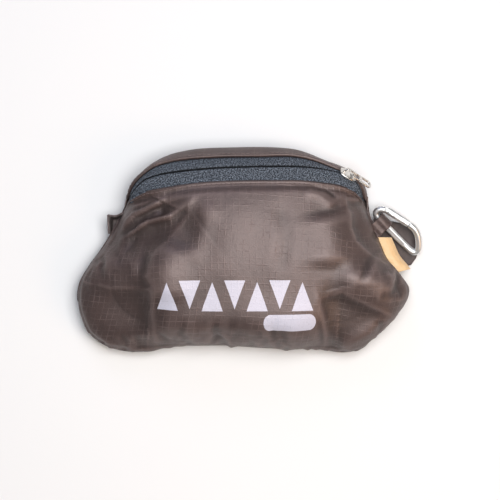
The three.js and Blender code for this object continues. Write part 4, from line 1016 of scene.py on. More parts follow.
print("Rod:", round(rod_length), "mm of", ROD, "mm rod")

# %% [markdown]
# ## Small rounded bars
#
# A superellipsoid is a box whose edges are worn round, with one formula: powers of sines and
# cosines. It serves for the carabiner's tongues and for each stitch.

# %% Rounded bars
def rounded_bar(size, along=0.25, around=0.5, rows=14, columns=20):
    """A closed bar of that size about the origin, its long side on x. along and around are the
    powers of the sines and cosines: 1 is an ellipsoid, and near 0 is a box."""
    v = np.linspace(-np.pi / 2, np.pi / 2, rows)[:, None]
    u = np.linspace(0, 2 * np.pi, columns, endpoint=False)[None]
    ring = np.abs(np.cos(v)) ** along
    x = powered(np.sin(v), along) + 0 * u
    y, z = ring * powered(np.cos(u), around), ring * powered(np.sin(u), around)
    return np.stack([x, y, z], -1) * np.asarray(size) / 2


GATE_HINGE, GATE_NOSE = (-0.305, 0.288), (0.06, 0.372)
TONGUE_WALL, TONGUE_WIDTH, TONGUE_REACH = 1.1, 2.6, 5.2
hinge, nose = (
    np.array([a * CARABINER_LENGTH, b * CARABINER_WIDTH, 0]) for a, b in (GATE_HINGE, GATE_NOSE)
)
gate_length = np.linalg.norm(nose - hinge)
gate_turn = turn_about(2, np.degrees(np.arctan2(*(nose - hinge)[1::-1])))
to_gate = carabiner_turn @ gate_turn
gate_place = carabiner_turn @ hinge + carabiner_place
tongues = []
for name, middle in (("hinge_tongue", -2.3), ("nose_tongue", gate_length + 0.1)):
    bar = rounded_bar((TONGUE_REACH, TONGUE_WIDTH, TONGUE_WALL), 0.2, 0.3)
    bar[..., 0] += middle
    tongues.append(seal(surface(name, bar @ to_gate.T + gate_place, closed=True)))
print("Gate:", round(gate_length, 1), "mm from rivet to tip")

# %% [markdown]
# ## The slider and its pull
#
# A zip slider is die cast: two plates with a neck between them, and a bridge over the upper one
# that holds the pull. Its edges come out of the mould rounded, so a plate is an outline whose
# rings follow a half ellipse over its edge. The bridge and the pull are rounded bands carried
# along their lines.

# %% The slider
SLIDER_PLACE, SLIDER_LENGTH, SLIDER_WIDTH, SLIDER_TAIL = 0.885, 11.5, 8.6, 6.4
PLATE_WALL, PLATE_GAP, SLIDER_MOUTH, NECK_WIDTH = 1.2, 0.3, 3.4, 1.6
BRIDGE_WIDTH, BRIDGE_LENGTH, BRIDGE_WALL, BRIDGE_OPENING = 2.4, 8.4, 1.0, 2.6


def zip_axes(along, depth):
    """The middle of the zip at that share of its length, some way below the skin, and its axes
    there: along the zip, across it and outwards."""
    near = np.array([-1, 0, 1]) * 1e-3
    patch = skin(along + near, MIDDLE + near)
    out, ahead = outward(patch)[1, 1], unit(patch[1, 2] - patch[1, 0])
    side = unit(np.cross(out, ahead))
    return patch[1, 1] - depth * out, np.stack([ahead, side, np.cross(ahead, side)])


def rounded_plate(name, outline, wall, middle):
    """A plate of that outline. Its rings are the outline drawn in towards the origin, and their
    shares and heights follow a half ellipse over the edge, with flat faces inside it."""
    turn = np.linspace(-np.pi / 2, np.pi / 2, 13)
    edge = wall / np.ptp(outline[:, 1])
    shares = np.concatenate([[0, 0.5, 0.75], 1 - edge * (1 - np.cos(turn)), [0.75, 0.5, 0]])
    heights = np.concatenate([[-1, -1, -1], np.sin(turn), [1.0, 1.1, 1.15]]) * wall / 2
    rings = shares[:, None, None] * outline
    rings[..., 2] = heights[:, None] + middle
    return seal(surface(name, rings @ slider_axes + slider_origin, closed=True))


slider_origin, slider_axes = zip_axes(SLIDER_PLACE, TAPE_DEPTH)
back_end, wide_at = -SLIDER_LENGTH / 2, 0.1 * SLIDER_LENGTH
half_shield = [
    (back_end, 0), (back_end, 0.7 * SLIDER_TAIL / 2), (back_end + 0.5, SLIDER_TAIL / 2),
    (wide_at, SLIDER_WIDTH / 2), (0.62 * -back_end, 0.86 * SLIDER_WIDTH / 2),
    (0.93 * -back_end, 0.42 * SLIDER_WIDTH / 2), (-back_end, 0),
]
shield_knots = half_shield + [(x, -y) for x, y in half_shield[-2::-1]]
shield = at_share(smooth_line([(x, y, 0) for x, y in shield_knots]), np.linspace(0, 1, 81)[:-1])
slider_top = PLATE_GAP + PLATE_WALL
lower_middle = PLATE_GAP - SLIDER_MOUTH - PLATE_WALL / 2
slider_parts = [
    rounded_plate("upper_plate", shield, PLATE_WALL, PLATE_GAP + PLATE_WALL / 2),
    rounded_plate("lower_plate", shield, PLATE_WALL, lower_middle),
]
neck = rounded_bar((0.3 * SLIDER_LENGTH, NECK_WIDTH, SLIDER_MOUTH + PLATE_WALL), 0.3, 0.3)
neck += (0.22 * SLIDER_LENGTH, 0, PLATE_GAP - SLIDER_MOUTH / 2)
slider_parts.append(seal(surface("neck", neck @ slider_axes + slider_origin, closed=True)))
foot, crest = BRIDGE_LENGTH / 2 - BRIDGE_WALL / 2, BRIDGE_OPENING + BRIDGE_WALL / 2
half_arch = [(-foot, -0.4), (-foot, 0.42 * crest), (-0.8 * foot, 0.83 * crest),
             (-0.42 * foot, 0.98 * crest), (0, crest)]
arch_knots = half_arch + [(-x, z) for x, z in half_arch[-2::-1]]
arch_line = at_share(
    smooth_line([(x, 0, z + slider_top) for x, z in arch_knots]), np.linspace(0, 1, 60)
)
arch_rings = sweep(arch_line, BRIDGE_WALL / 2, (0, 1, 0), tall=BRIDGE_WIDTH / 2, power=0.6)
slider_parts.append(seal(surface(
    "bridge", closed_ends(arch_rings) @ slider_axes + slider_origin, closed=True
)))
slider_body = joined("slider_body", slider_parts)
print("Slider:", len(slider_body.data.polygons), "faces, its solid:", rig.box("zip_slider"))

# %% The pull
PULL_LENGTH, PULL_WALL, PULL_ROOT_BAR, PULL_DROOP = 15.0, 1.1, 1.3, 5.0
PULL_RAIL = np.array([  # place along the pull, middle of the rail from its centre, half width
    (0.0, 2.35, 0.62), (4.5, 2.35, 0.65), (6.2, 2.45, 0.85), (7.5, 2.5, 1.0), (10.5, 2.5, 1.0),
    (12.2, 2.3, 0.95), (13.1, 1.5, 0.9), (13.45, 0.0, 0.9),
])
rails = np.concatenate([PULL_RAIL, (PULL_RAIL * (1, -1, 1))[-2::-1], [(0, 0, 0.62)], PULL_RAIL[:1]])
rail_line = at_share(smooth_line(rails * (1, 1, 0)), np.linspace(0, 1, 141))
rail_knots = np.append(0, np.cumsum(np.linalg.norm(np.diff(rails[:, :2], axis=0), axis=1)))
rail_half = np.interp(np.linspace(0, rail_knots[-1], 141), rail_knots, rails[:, 2])
around = np.concatenate([np.arange(138, 140), np.arange(141), np.arange(1, 3)])
rail_rings = sweep(rail_line[around], rail_half[around], (0, 0, 1), tall=PULL_WALL / 2, power=0.7)
pull_pivot = np.array([
    BRIDGE_LENGTH / 2 - BRIDGE_WALL - PULL_ROOT_BAR, 0, slider_top + BRIDGE_OPENING / 2
])
pull_origin = pull_pivot @ slider_axes + slider_origin
pull_axes = turn_about(1, PULL_DROOP).T @ slider_axes
cross_bar = rounded_bar((4.6, 2.1, PULL_WALL * 0.96), 0.25, 0.5) @ turn_about(2, 90).T
cross_bar += (0.4 * PULL_LENGTH, 0, 0)
pull_tab = joined("pull_tab", [
    seal(surface(name, grid @ pull_axes + pull_origin, closed=True), 2e-5)
    for name, grid in (("rail", rail_rings[2:-2]), ("cross_bar", cross_bar))
])
print("Pull's pivot:", pull_origin.round(3), "mm; its joint:",
      [j["pos_m"] for j in frame["record"]["behaviour"]["joints"]][0])

# %% [markdown]
# ## The cloth loop
#
# A strip of the pack's cloth is folded lengthwise to a band, goes round the carabiner's rod
# and comes back into the side seam. It is a flat profile carried along its path.

# %% The cloth loop
LOOP_WIDTH, LOOP_WALL, ROD_SLACK, SEAM_OVERRUN = 9.0, 1.1, 1.1, 3.0
loop_radius = ROD / 2 + ROD_SLACK + LOOP_WALL / 2
bend = np.radians(np.linspace(-90, 90, 9))
half_path = [(-SEAM_OVERRUN, -0.6), (0, -0.62), (2.2, -1.7), (4.1, -3.4)]
arc = [(LOOP_REACH + loop_radius * np.cos(a), loop_radius * np.sin(a)) for a in bend]
loop_path = [*half_path, *arc, *[(x, -z) for x, z in half_path[::-1]]]
loop_line = at_share(smooth_line([(x, 0, z) for x, z in loop_path]), np.linspace(0, 1, 110))
loop_across = np.linspace(-1, 1, 20)
rod_ahead = at_share(rod_line, np.array([HELD_PLACE - 0.002, HELD_PLACE + 0.002]))
rod_direction = carabiner_turn @ unit(rod_ahead[1] - rod_ahead[0])
loop_out = held_at - loop_root
loop_out = unit(loop_out - (loop_out @ rod_direction) * rod_direction)
loop_axes = np.stack([loop_out, rod_direction, np.cross(loop_out, rod_direction)])
loop_grid = loop_line[:, None] + np.array([0, LOOP_WIDTH / 2, 0]) * loop_across[:, None]
run = np.linspace(0, 1, len(loop_line))[:, None]
slack = 0.16 * np.cos(1.4 * loop_across + 4 * run) * np.sin(5 * np.pi * run)
loop_grid = loop_grid + outward(loop_grid) * slack[..., None]
loop_origin = held_at - loop_out * LOOP_REACH
loop_band = surface("loop_band", loop_grid @ loop_axes + loop_origin, cloth_places(loop_grid))
give_wall(loop_band, LOOP_WALL, 0)
print("Loop: a band", LOOP_WIDTH, "mm wide")

# %% [markdown]
# ## The ribbon label
#
# A tan satin ribbon is folded in half and sewn into the seam. Its fold stands out from the
# seam, and its free side curls down a little towards the lower end.

# %% The ribbon label
LABEL_TOP, LABEL_LENGTH, LABEL_REACH, LABEL_TURN = 0.13, 25.0, 8.6, 15.0
LABEL_CURL = np.array([(0, 1.03), (0.12, 1.03), (0.45, 1.03), (0.75, 0.92), (1, 0.7)])
LABEL_LAYER, LABEL_WALL, LABEL_WAVE = 0.7, 0.3, 0.35  # the layer is from fold to fold
seam_points = at_share(right_to_front, np.linspace(1, 0, 401))
top_point = seam_place(LABEL_TOP)
on_label = (seam_points[:, 1] <= top_point[1]) & (
    np.linalg.norm(seam_points - top_point, axis=1) <= LABEL_LENGTH
)
label_seam = at_share(seam_points[on_label], np.linspace(0, 1, 60))
out = np.sin(np.linspace(0, np.pi, 41))  # out to the fold and back
label_side = np.cos(np.linspace(0, np.pi, 41))
label_turn = np.radians(LABEL_TURN) * np.linspace(0, 1, 60)[:, None]
label_lift = label_seam[:, 2:] * np.interp(out, LABEL_CURL[:, 0], LABEL_CURL[:, 1])
label_lift = label_lift + LABEL_LAYER / 2 * np.sign(label_side) * np.abs(label_side) ** 0.5
label_lift = label_lift + LABEL_WAVE * out * np.sin(np.linspace(0, 7, 60))[:, None]
label_grid = np.stack([
    label_seam[:, :1] + out * LABEL_REACH * np.cos(label_turn),
    label_seam[:, 1:2] + out * LABEL_REACH * np.sin(label_turn),
    label_lift,
], -1)
ribbon_label = surface("ribbon_label", label_grid, cloth_places(label_grid))
give_wall(ribbon_label, LABEL_WALL, 0)
print("Label:", LABEL_LENGTH, "x", LABEL_REACH, "mm, folded")

# %% [markdown]
# ## The cloth tail
#
# Behind the carabiner a short tail of the pack's cloth lies on the table. It is two layers
# with rounded edges: an ellipse squared off, carried outwards from the seam.

# %% The cloth tail
TAIL_WIDTH, TAIL_LENGTH, TAIL_WALL, TAIL_TURN, TAIL_PLACE = 27.0, 27.0, 2.2, -16.0, 0.13
TAIL_POWER = 0.6  # 1 is an ellipse, and less squares it off
TAIL_RISE = np.array([(0, 0.26), (0.14, 0.15), (0.3, 0.04), (0.42, 0), (1, 0)])
TAIL_SHAPE = np.array([(0, 0.4), (0.3, 0.47), (0.6, 0.5), (0.82, 0.47), (0.94, 0.38), (1, 0.2)])
tail_root = seam_place(TAIL_PLACE)
tail_outs = np.linspace(0, 1, 70)
tail_half = np.interp(tail_outs, *TAIL_SHAPE.T)[:, None] * TAIL_WIDTH
tail_rise = np.interp(tail_outs, *TAIL_RISE.T)[:, None] * (tail_root[2] - TAIL_WALL)
angle = np.linspace(0, 2 * np.pi, 64, endpoint=False)
tail_y = tail_half * powered(np.cos(angle), TAIL_POWER)
tail_z = TAIL_WALL / 2 * (1 + powered(np.sin(angle), TAIL_POWER))
tail_x = (-SEAM_OVERRUN + tail_outs * (TAIL_LENGTH + SEAM_OVERRUN))[:, None] + 0 * tail_y
tail_grid = np.stack([tail_x, tail_y, tail_rise + tail_z], -1)
crumple = soft_waves(tail_grid[..., :2], 13, 0.45, seed=31)
tail_grid[..., 2] += np.maximum(np.sin(angle), 0) * crumple
tail_places = np.stack([tail_x, tail_y], -1)
tail_places = np.concatenate([tail_places, tail_places[:, :1]], 1)
tail_grid = closed_ends(tail_grid) @ turn_about(2, TAIL_TURN).T
tail_grid += np.array([tail_root[0], tail_root[1], 0])
tail_places = np.concatenate([tail_places[:1], tail_places, tail_places[-1:]])
cloth_tail = seal(surface("cloth_tail", tail_grid, tail_places, closed=True))
print("Tail:", TAIL_LENGTH, "x", TAIL_WIDTH, "mm, two layers")

# %% [markdown]
# ## The corner fold
#
# At the left end of the zip the seam allowance is turned out as a small open fold: a raised
# rim, and behind it a hollow that shows the inside of the seam.

# %% The corner fold
FOLD_CORNERS = {
    "top_out": (-0.818, 0.343), "top_in": (-0.72, 0.37),
    "low_in": (-0.765, 0.2), "low_out": (-0.812, 0.16),
}
FOLD_LIFT, FOLD_HOLLOW, FOLD_RIM, FOLD_WALL = 0.27, 3.2, 0.75, 0.8
corner = {k: np.array([*v, FOLD_LIFT]) * HALF for k, v in FOLD_CORNERS.items()}
down, over = np.linspace(0, 1, 60)[:, None, None], np.linspace(0, 1, 60)[None, :, None]
fold_grid = (1 - down) * ((1 - over) * corner["top_out"] + over * corner["top_in"]) + down * (
    (1 - over) * corner["low_out"] + over * corner["low_in"]
)
fold_grid[..., 1] -= 1.3 * np.sin(np.pi * over[..., 0]) * (1 - down[..., 0])
fold_grid[..., 2] += 1.2 * over[..., 0] - FOLD_HOLLOW * (
    smoothstep(over[..., 0], 0, 0.35) * smoothstep(down[..., 0], 0, 0.2)
    * (1 - smoothstep(over[..., 0], 0.8, 1))
)
fold_grid[..., 2] += soft_waves(fold_grid[..., :2], 5, 0.2, seed=41)
corner_fold = surface("corner_fold", fold_grid, cloth_places(fold_grid), fold_grid[..., :2])
give_wall(corner_fold, FOLD_WALL)
rim_line = np.concatenate([fold_grid[0, ::-1], fold_grid[1:, 0]])
for _ in range(6):
    rim_line[1:-1] = (rim_line[:-2] + 2 * rim_line[1:-1] + rim_line[2:]) / 4
rim_rings = sweep(rim_line, FOLD_RIM, (0.2, 0.3, 1), sides=16, tall=FOLD_RIM * 0.6)
corner_rim = seal(surface("corner_rim", closed_ends(rim_rings), closed=True))
print("Corner fold:", len(corner_fold.data.polygons), "faces")

# %% [markdown]
# ## Stitches
#
# The hems at the zip are held by a line of lockstitch. Each stitch is a small rounded bar laid
# along the seam, and all the stitches of one line are one mesh.

# %% Stitches
STITCH_PITCH, STITCH_LENGTH, THREAD = 3.0, 2.3, 0.42


def stitch_line(name, points, edge_distance, inset, ends=4.0):
    """A stitch every few millimetres where a grid is at one distance from its edge. A stitch is
    a rounded bar turned to the line's run and the surface's outward direction there."""
    row = np.argmin(np.abs(edge_distance - inset), axis=0)
    column = np.arange(points.shape[1])
    line, out = points[row, column], outward(points)[row, column]
    run = np.append(0, np.cumsum(np.linalg.norm(np.diff(line, axis=0), axis=1)))
    centres = np.arange(ends, run[-1] - ends, STITCH_PITCH)
    at, up = (
        np.stack([np.interp(centres, run, v[:, k]) for k in range(3)], -1) for v in (line, out)
    )
    ahead = unit(np.gradient(at, axis=0))
    side = unit(np.cross(up, ahead))
    axes = np.stack([ahead, side, np.cross(ahead, side)], 1)
    bar = rounded_bar((STITCH_LENGTH, THREAD, THREAD), 0.6, 1, rows=7, columns=8)
    bars = at[:, None, None] + np.einsum("rci,nij->nrcj", bar, axes) + 0.1 * up[:, None, None]
    count, rows, columns = bars.shape[:3]
    index = np.arange(rows * columns).reshape(rows, columns)
    index = np.hstack([index, index[:, :1]])
    quads = np.stack([index[:-1, :-1], index[:-1, 1:], index[1:, 1:], index[1:, :-1]], -1)
    faces = quads.reshape(-1, 4)[None] + np.arange(count)[:, None, None] * rows * columns
    mesh = bpy.data.meshes.new(name)
    mesh.from_pydata(bars.reshape(-1, 3) * MM, [], faces.reshape(-1, 4))
    mesh.polygons.foreach_set("use_smooth", np.ones(len(mesh.polygons), bool))
    piece = bpy.data.objects.new(name, mesh)
    bpy.context.scene.collection.objects.link(piece)
    print(name, "-", count, "stitches")
    return seal(piece)


front_stitches = stitch_line(
    "front_stitches", front_grid, seam_distances(front_bare)[3], STITCH_INSET
)
back_stitches = stitch_line("back_stitches", back_grid, seam_distances(back_bare)[2], STITCH_INSET)

# %% [markdown]
# ## Finishes
#
# Each finish starts from the real material. Colours are written as they look on a screen and
# turned to linear light by one function. One small function adds a node with its settings
# and its links.

# %% Colours and nodes
def linear(code):
    """An sRGB hex colour as linear RGBA."""
    channels = np.array([int(code[i : i + 2], 16) for i in (0, 2, 4)]) / 255
    low = channels / 12.92
    high = ((channels + 0.055) / 1.055) ** 2.4
    return (*np.where(channels <= 0.04045, low, high), 1.0)


def add(tree, kind, inputs=(), **settings):
    """Adds a node of that kind. settings are its own, and inputs are pairs of a socket and what
    goes in: a value, or another node's output."""
    node = tree.nodes.new(kind)
    for name, value in settings.items():
        setattr(node, name, value)
    for socket, value in dict(inputs).items():
        if isinstance(value, bpy.types.NodeSocket):
            tree.links.new(value, node.inputs[socket])
        else:
            node.inputs[socket].default_value = value
    return node


def finish_named(name, **shader):
    """A material with its node tree and its shader, whose sockets are set here."""
    material = bpy.data.materials.new(name)
    material.use_nodes = True
    tree = material.node_tree
    principled = tree.nodes["Principled BSDF"]
    for socket, value in shader.items():
        principled.inputs[socket.replace("_", " ")].default_value = value
    return material, tree, principled


def wear(piece, material):
    """Gives a piece that material alone."""
    piece.data.materials.clear()
    piece.data.materials.append(material)


print("Plateau brown in linear light:", [round(c, 3) for c in linear("827373")[:3]])

# %% [markdown]
# ## Ripstop nylon
#
# Calendered ripstop is a light plain weave with a thicker yarn every few millimetres both
# ways, pressed between rollers and coated inside. That gives the eye a soft, broad gloss, a
# faint square net, and colour that shifts a little from yarn to yarn. The single threads,
# 0.1 mm apart, are too fine to show, so they are drawn at 0.9 mm.

# %% Ripstop nylon
RIP_SPACING, RIP_YARN, WEAVE_SPACING = 3.9, 0.4, 0.9  # mm


def ripstop(name, light, dark, net_tint="655553", rough=0.52, printed=False):
    """Ripstop nylon between two browns, with a net and a weave in its colour, painted shade in the
    hollows of its creases and a painted highlight on their ridges.
    """
    material, tree, shader = finish_named(
        name, Roughness=rough, IOR=1.53, Specular_IOR_Level=1.0,
        Specular_Tint=(1.0, 0.84, 0.81, 1.0)
    )
    places = add(tree, "ShaderNodeUVMap", uv_map="cloth").outputs["UV"]
    parts = add(tree, "ShaderNodeSeparateXYZ", {"Vector": places})
    nets = []
    for axis in "XY":
        away = add(tree, "ShaderNodeMath", {0: parts.outputs[axis], 1: RIP_SPACING / 2},
                   operation="PINGPONG")
        yarn = add(tree, "ShaderNodeMapRange", {
            "Value": away.outputs[0], "From Min": 0.0, "From Max": RIP_YARN,
            "To Min": 1.0, "To Max": 0.0}, interpolation_type="SMOOTHSTEP")
        patchy = add(tree, "ShaderNodeTexNoise", {"Vector": places, "Scale": 0.09, "Detail": 4.0})
        shown = add(tree, "ShaderNodeMapRange", {
            "Value": patchy.outputs["Fac"], "From Min": 0.42, "From Max": 0.64,
            "To Min": 0.08, "To Max": 1.0})
        nets.append(add(tree, "ShaderNodeMath", {0: yarn.outputs[0], 1: shown.outputs[0]},
                        operation="MULTIPLY").outputs[0])
    net = add(tree, "ShaderNodeMath", {0: nets[0], 1: nets[1]}, operation="MAXIMUM").outputs[0]
    waves = []
    for axis in "XY":
        turned = add(tree, "ShaderNodeMath", {
            0: parts.outputs[axis], 1: 2 * np.pi / WEAVE_SPACING}, operation="MULTIPLY")
        waves.append(add(tree, "ShaderNodeMath", {0: turned.outputs[0]},
                         operation="SINE").outputs[0])
    weave = add(tree, "ShaderNodeMath", {0: waves[0], 1: waves[1]}, operation="MULTIPLY").outputs[0]
    dye = add(tree, "ShaderNodeTexNoise", {"Vector": places, "Scale": 0.05, "Detail": 5.0})
    speck = add(tree, "ShaderNodeTexNoise", {"Vector": places, "Scale": 1.4, "Detail": 2.0})
    blotch = add(tree, "ShaderNodeMath", {0: dye.outputs["Fac"], 1: speck.outputs["Fac"]},
                 operation="ADD")
    shade = add(tree, "ShaderNodeMapRange", {
        "Value": blotch.outputs[0], "From Min": 0.75, "From Max": 1.25})
    base = add(tree, "ShaderNodeMix", {
        0: shade.outputs[0], 6: linear(dark), 7: linear(light)}, data_type="RGBA").outputs[2]
    paler = add(tree, "ShaderNodeMapRange", {"Value": net, "To Max": 0.5})
    base = add(tree, "ShaderNodeMix", {
        0: paler.outputs[0], 6: base, 7: linear(net_tint)}, data_type="RGBA").outputs[2]
    # Painted shade and painted highlight: the crease depth darkens the hollows towards near black and lightens the
    # ridges.
    depth = add(tree, "ShaderNodeAttribute", attribute_name="crease").outputs["Fac"]
    for low, high, tint, most in ((0.1, 1.0, "0f0b0a", 0.6), (-0.2, -1.0, "7d6d6a", 0.24)):
        painted_shade_and_highlight = add(tree, "ShaderNodeMapRange", {
            "Value": depth, "From Min": low, "From Max": high, "To Max": most})
        base = add(tree, "ShaderNodeMix", {
            0: painted_shade_and_highlight.outputs[0], 6: base, 7: linear(tint)}, data_type="RGBA").outputs[2]
    if printed:
        base = pale_print(tree, base)
    tree.links.new(base, shader.inputs["Base Color"])
    crumpled = add(tree, "ShaderNodeTexNoise", {
        "Vector": places, "Scale": 0.09, "Detail": 5.0, "Roughness": 0.6, "Distortion": 0.6})
    yarns = add(tree, "ShaderNodeMath", {0: net, 1: 1.8}, operation="MULTIPLY")
    grain = add(tree, "ShaderNodeMath", {0: speck.outputs["Fac"], 1: 1.6, 2: yarns.outputs[0]},
                operation="MULTIPLY_ADD")
    thread = add(tree, "ShaderNodeMath", {0: weave, 1: 0.25, 2: grain.outputs[0]},
                 operation="MULTIPLY_ADD")
    relief = add(tree, "ShaderNodeMath", {
        0: crumpled.outputs["Fac"], 1: 7.0, 2: thread.outputs[0]}, operation="MULTIPLY_ADD")
    bump = add(tree, "ShaderNodeBump", {
        "Strength": 0.5, "Distance": 0.0001, "Height": relief.outputs[0]})
    tree.links.new(bump.outputs[0], shader.inputs["Normal"])
    return material


def pale_print(tree, base):
    """A screen print in pale ink: a row of plain triangles, every other one turned over, and a
    plain rounded bar under its right end, both worked out from the place in plan."""
    plan = add(tree, "ShaderNodeUVMap", uv_map="plan").outputs["UV"]
    parts = add(tree, "ShaderNodeSeparateXYZ", {"Vector": plan})
    x, y = parts.outputs["X"], parts.outputs["Y"]

    def math(kind, *values):
        return add(tree, "ShaderNodeMath", dict(enumerate(values)), operation=kind).outputs[0]

    share_x = math("DIVIDE", math("SUBTRACT", x, PRINT_LEFT), PRINT_WIDTH / PRINT_COUNT)
    share_y = math("DIVIDE", math("SUBTRACT", y, PRINT_BOTTOM), PRINT_HEIGHT)
    turned_over = math("MODULO", math("FLOOR", share_x), 2.0)
    from_base = math("ABSOLUTE", math("SUBTRACT", turned_over, share_y))
    slope = math("MULTIPLY", math("PINGPONG", share_x, 0.5), 2.0)
    under_slope = math("GREATER_THAN", math("SUBTRACT", slope, PRINT_GAP), from_base)
    inside = math("MULTIPLY", math("GREATER_THAN", share_x, 0.0),
                  math("LESS_THAN", share_x, float(PRINT_COUNT)))
    inside = math("MULTIPLY", inside, math("GREATER_THAN", from_base, 0.0))
    inside = math("MULTIPLY", inside, math("GREATER_THAN", share_y, 0.0))
    inside = math("MULTIPLY", inside, math("LESS_THAN", share_y, 1.0))
    triangles = math("MULTIPLY", under_slope, inside)
    from_bar = math("ABSOLUTE", math("SUBTRACT", x, BAR_X))
    beyond = math("MAXIMUM", math("SUBTRACT", from_bar, BAR_HALF), 0.0)
    rise = math("SUBTRACT", y, BAR_Y)
    far = math("SQRT", math("ADD", math("MULTIPLY", beyond, beyond), math("MULTIPLY", rise, rise)))
    bar = math("LESS_THAN", far, BAR_RADIUS)
    ink = math("MAXIMUM", triangles, bar)
    worn = add(tree, "ShaderNodeTexNoise", {"Vector": plan, "Scale": 0.9, "Detail": 3.0})
    kept = add(tree, "ShaderNodeMapRange", {
        "Value": worn.outputs["Fac"], "From Min": 0.3, "From Max": 0.42, "To Min": 0.8})
    return add(tree, "ShaderNodeMix", {
        0: math("MULTIPLY", ink, kept.outputs[0]), 6: base, 7: linear("b5b5c3")},
        data_type="RGBA").outputs[2]


PRINT_LEFT, PRINT_WIDTH, PRINT_COUNT = -53.0, 95.5, 7
PRINT_BOTTOM, PRINT_HEIGHT, PRINT_GAP = -36.6, 17.4, 0.06
BAR_X, BAR_Y, BAR_HALF, BAR_RADIUS = 28.0, -42.6, 11.5, 4.2
printed_ripstop = ripstop("ripstop_nylon_printed", "40322f", "2b2120", printed=True)
brown_ripstop = ripstop("ripstop_nylon", "40322f", "2b2120")
# A near-black copy of the pack's brown cloth: painted shade for the tail behind the carabiner, the corner fold's
# hollow and the zip's end corners.
painted_shade_ripstop = ripstop("ripstop_nylon_painted_shade", "14100e", "0c0a09", "2a2321", rough=0.66)
wear(pocket_front, printed_ripstop)
for piece in (pocket_back, folded_load, corner_rim, loop_band):
    wear(piece, brown_ripstop)
for piece in (cloth_tail, corner_fold, zip_end_left, zip_end_right):
    wear(piece, painted_shade_ripstop)
print("Ripstop net:", RIP_SPACING, "mm")

# %% [markdown]
# ## Zip tape, ribbon and thread
#
# Zip tape is a dense polyester twill. Its navy grey yarns take the dye unevenly, which shows
# as light specks. The ribbon is a polyester satin, smooth and a little glossy across its
# threads. The thread is bonded nylon.

# %% Zip tape, ribbon and thread
TWILL_SPACING = 1.1  # mm, drawn coarser than the real 0.4 mm so that it shows
tape_twill, tree, shader = finish_named(
    "polyester_zip_twill", Roughness=0.8, Specular_IOR_Level=0.25)
places = add(tree, "ShaderNodeUVMap", uv_map="cloth").outputs["UV"]
specks = add(tree, "ShaderNodeTexNoise", {"Vector": places, "Scale": 1.15, "Detail": 2.5,
                                          "Roughness": 0.7})
speckled = add(tree, "ShaderNodeMapRange", {
    "Value": specks.outputs["Fac"], "From Min": 0.44, "From Max": 0.66})
tone = add(tree, "ShaderNodeMix", {
    0: speckled.outputs[0], 6: linear("1d2128"), 7: linear("828b97")}, data_type="RGBA")
edges = add(tree, "ShaderNodeSeparateXYZ", {
    "Vector": add(tree, "ShaderNodeUVMap", uv_map="plan").outputs["UV"]})
# Painted shade: the twill turns near black along the slit between the tapes, and along the upper tape's edge where the
# back panel's hem shades it.
for axis, reach in (("X", 0.9), ("Y", 2.6)):
    painted_slit_and_edge_shade = add(tree, "ShaderNodeMapRange", {
        "Value": edges.outputs[axis], "From Min": 0.3 * reach, "From Max": reach, "To Min": 0.9,
        "To Max": 0.0}, interpolation_type="SMOOTHSTEP")
    tone = add(tree, "ShaderNodeMix", {
        0: painted_slit_and_edge_shade.outputs[0], 6: tone.outputs[2], 7: linear("0b0c0f")}, data_type="RGBA")
tree.links.new(tone.outputs[2], shader.inputs["Base Color"])
turned = add(tree, "ShaderNodeMapping", {"Vector": places, "Rotation": (0, 0, np.radians(45))})
ribs = add(tree, "ShaderNodeTexWave", {
    "Vector": turned.outputs[0], "Scale": 1 / TWILL_SPACING, "Distortion": 1.0})
twill_relief = add(tree, "ShaderNodeMath", {0: ribs.outputs["Fac"], 1: specks.outputs["Fac"]},
                   operation="ADD")
twill_bump = add(tree, "ShaderNodeBump", {
    "Strength": 0.7, "Distance": 0.0002, "Height": twill_relief.outputs[0]})
tree.links.new(twill_bump.outputs[0], shader.inputs["Normal"])
for piece in (zip_tape_front, zip_tape_back):
    wear(piece, tape_twill)

RIBBON_THREAD = 0.6  # mm
satin_ribbon, tree, shader = finish_named("polyester_satin_ribbon", Roughness=0.38,
                                          Sheen_Weight=0.2)
places = add(tree, "ShaderNodeUVMap", uv_map="cloth").outputs["UV"]
cloudy = add(tree, "ShaderNodeTexNoise", {"Vector": places, "Scale": 0.25, "Detail": 3.0})
tone = add(tree, "ShaderNodeMix", {
    0: cloudy.outputs["Fac"], 6: linear("c79f68"), 7: linear("dcbf96")}, data_type="RGBA")
tree.links.new(tone.outputs[2], shader.inputs["Base Color"])
threads = add(tree, "ShaderNodeTexWave", {"Vector": places, "Scale": 1 / RIBBON_THREAD})
ribbon_bump = add(tree, "ShaderNodeBump", {
    "Strength": 0.3, "Distance": 0.0001, "Height": threads.outputs["Fac"]})
tree.links.new(ribbon_bump.outputs[0], shader.inputs["Normal"])
wear(ribbon_label, satin_ribbon)

bonded_thread, tree, shader = finish_named("bonded_nylon_thread", Roughness=0.45)
twist = add(tree, "ShaderNodeTexNoise", {
    "Vector": add(tree, "ShaderNodeTexCoord").outputs["Object"], "Scale": 900.0})
tone = add(tree, "ShaderNodeMix", {
    0: twist.outputs["Fac"], 6: linear("5c4e4b"), 7: linear("83736f")}, data_type="RGBA")
tree.links.new(tone.outputs[2], shader.inputs["Base Color"])
for piece in (front_stitches, back_stitches):
    wear(piece, bonded_thread)
print("Twill, satin and thread are ready")

# %% [markdown]
# ## Metal
#
# The carabiner is tumbled aluminium, bright with fine scratches, and the slider and its tab
# are die cast zinc with nickel plate. Both are metals, so their colour is that of their
# reflections; faint marks in the roughness keep them from looking new.

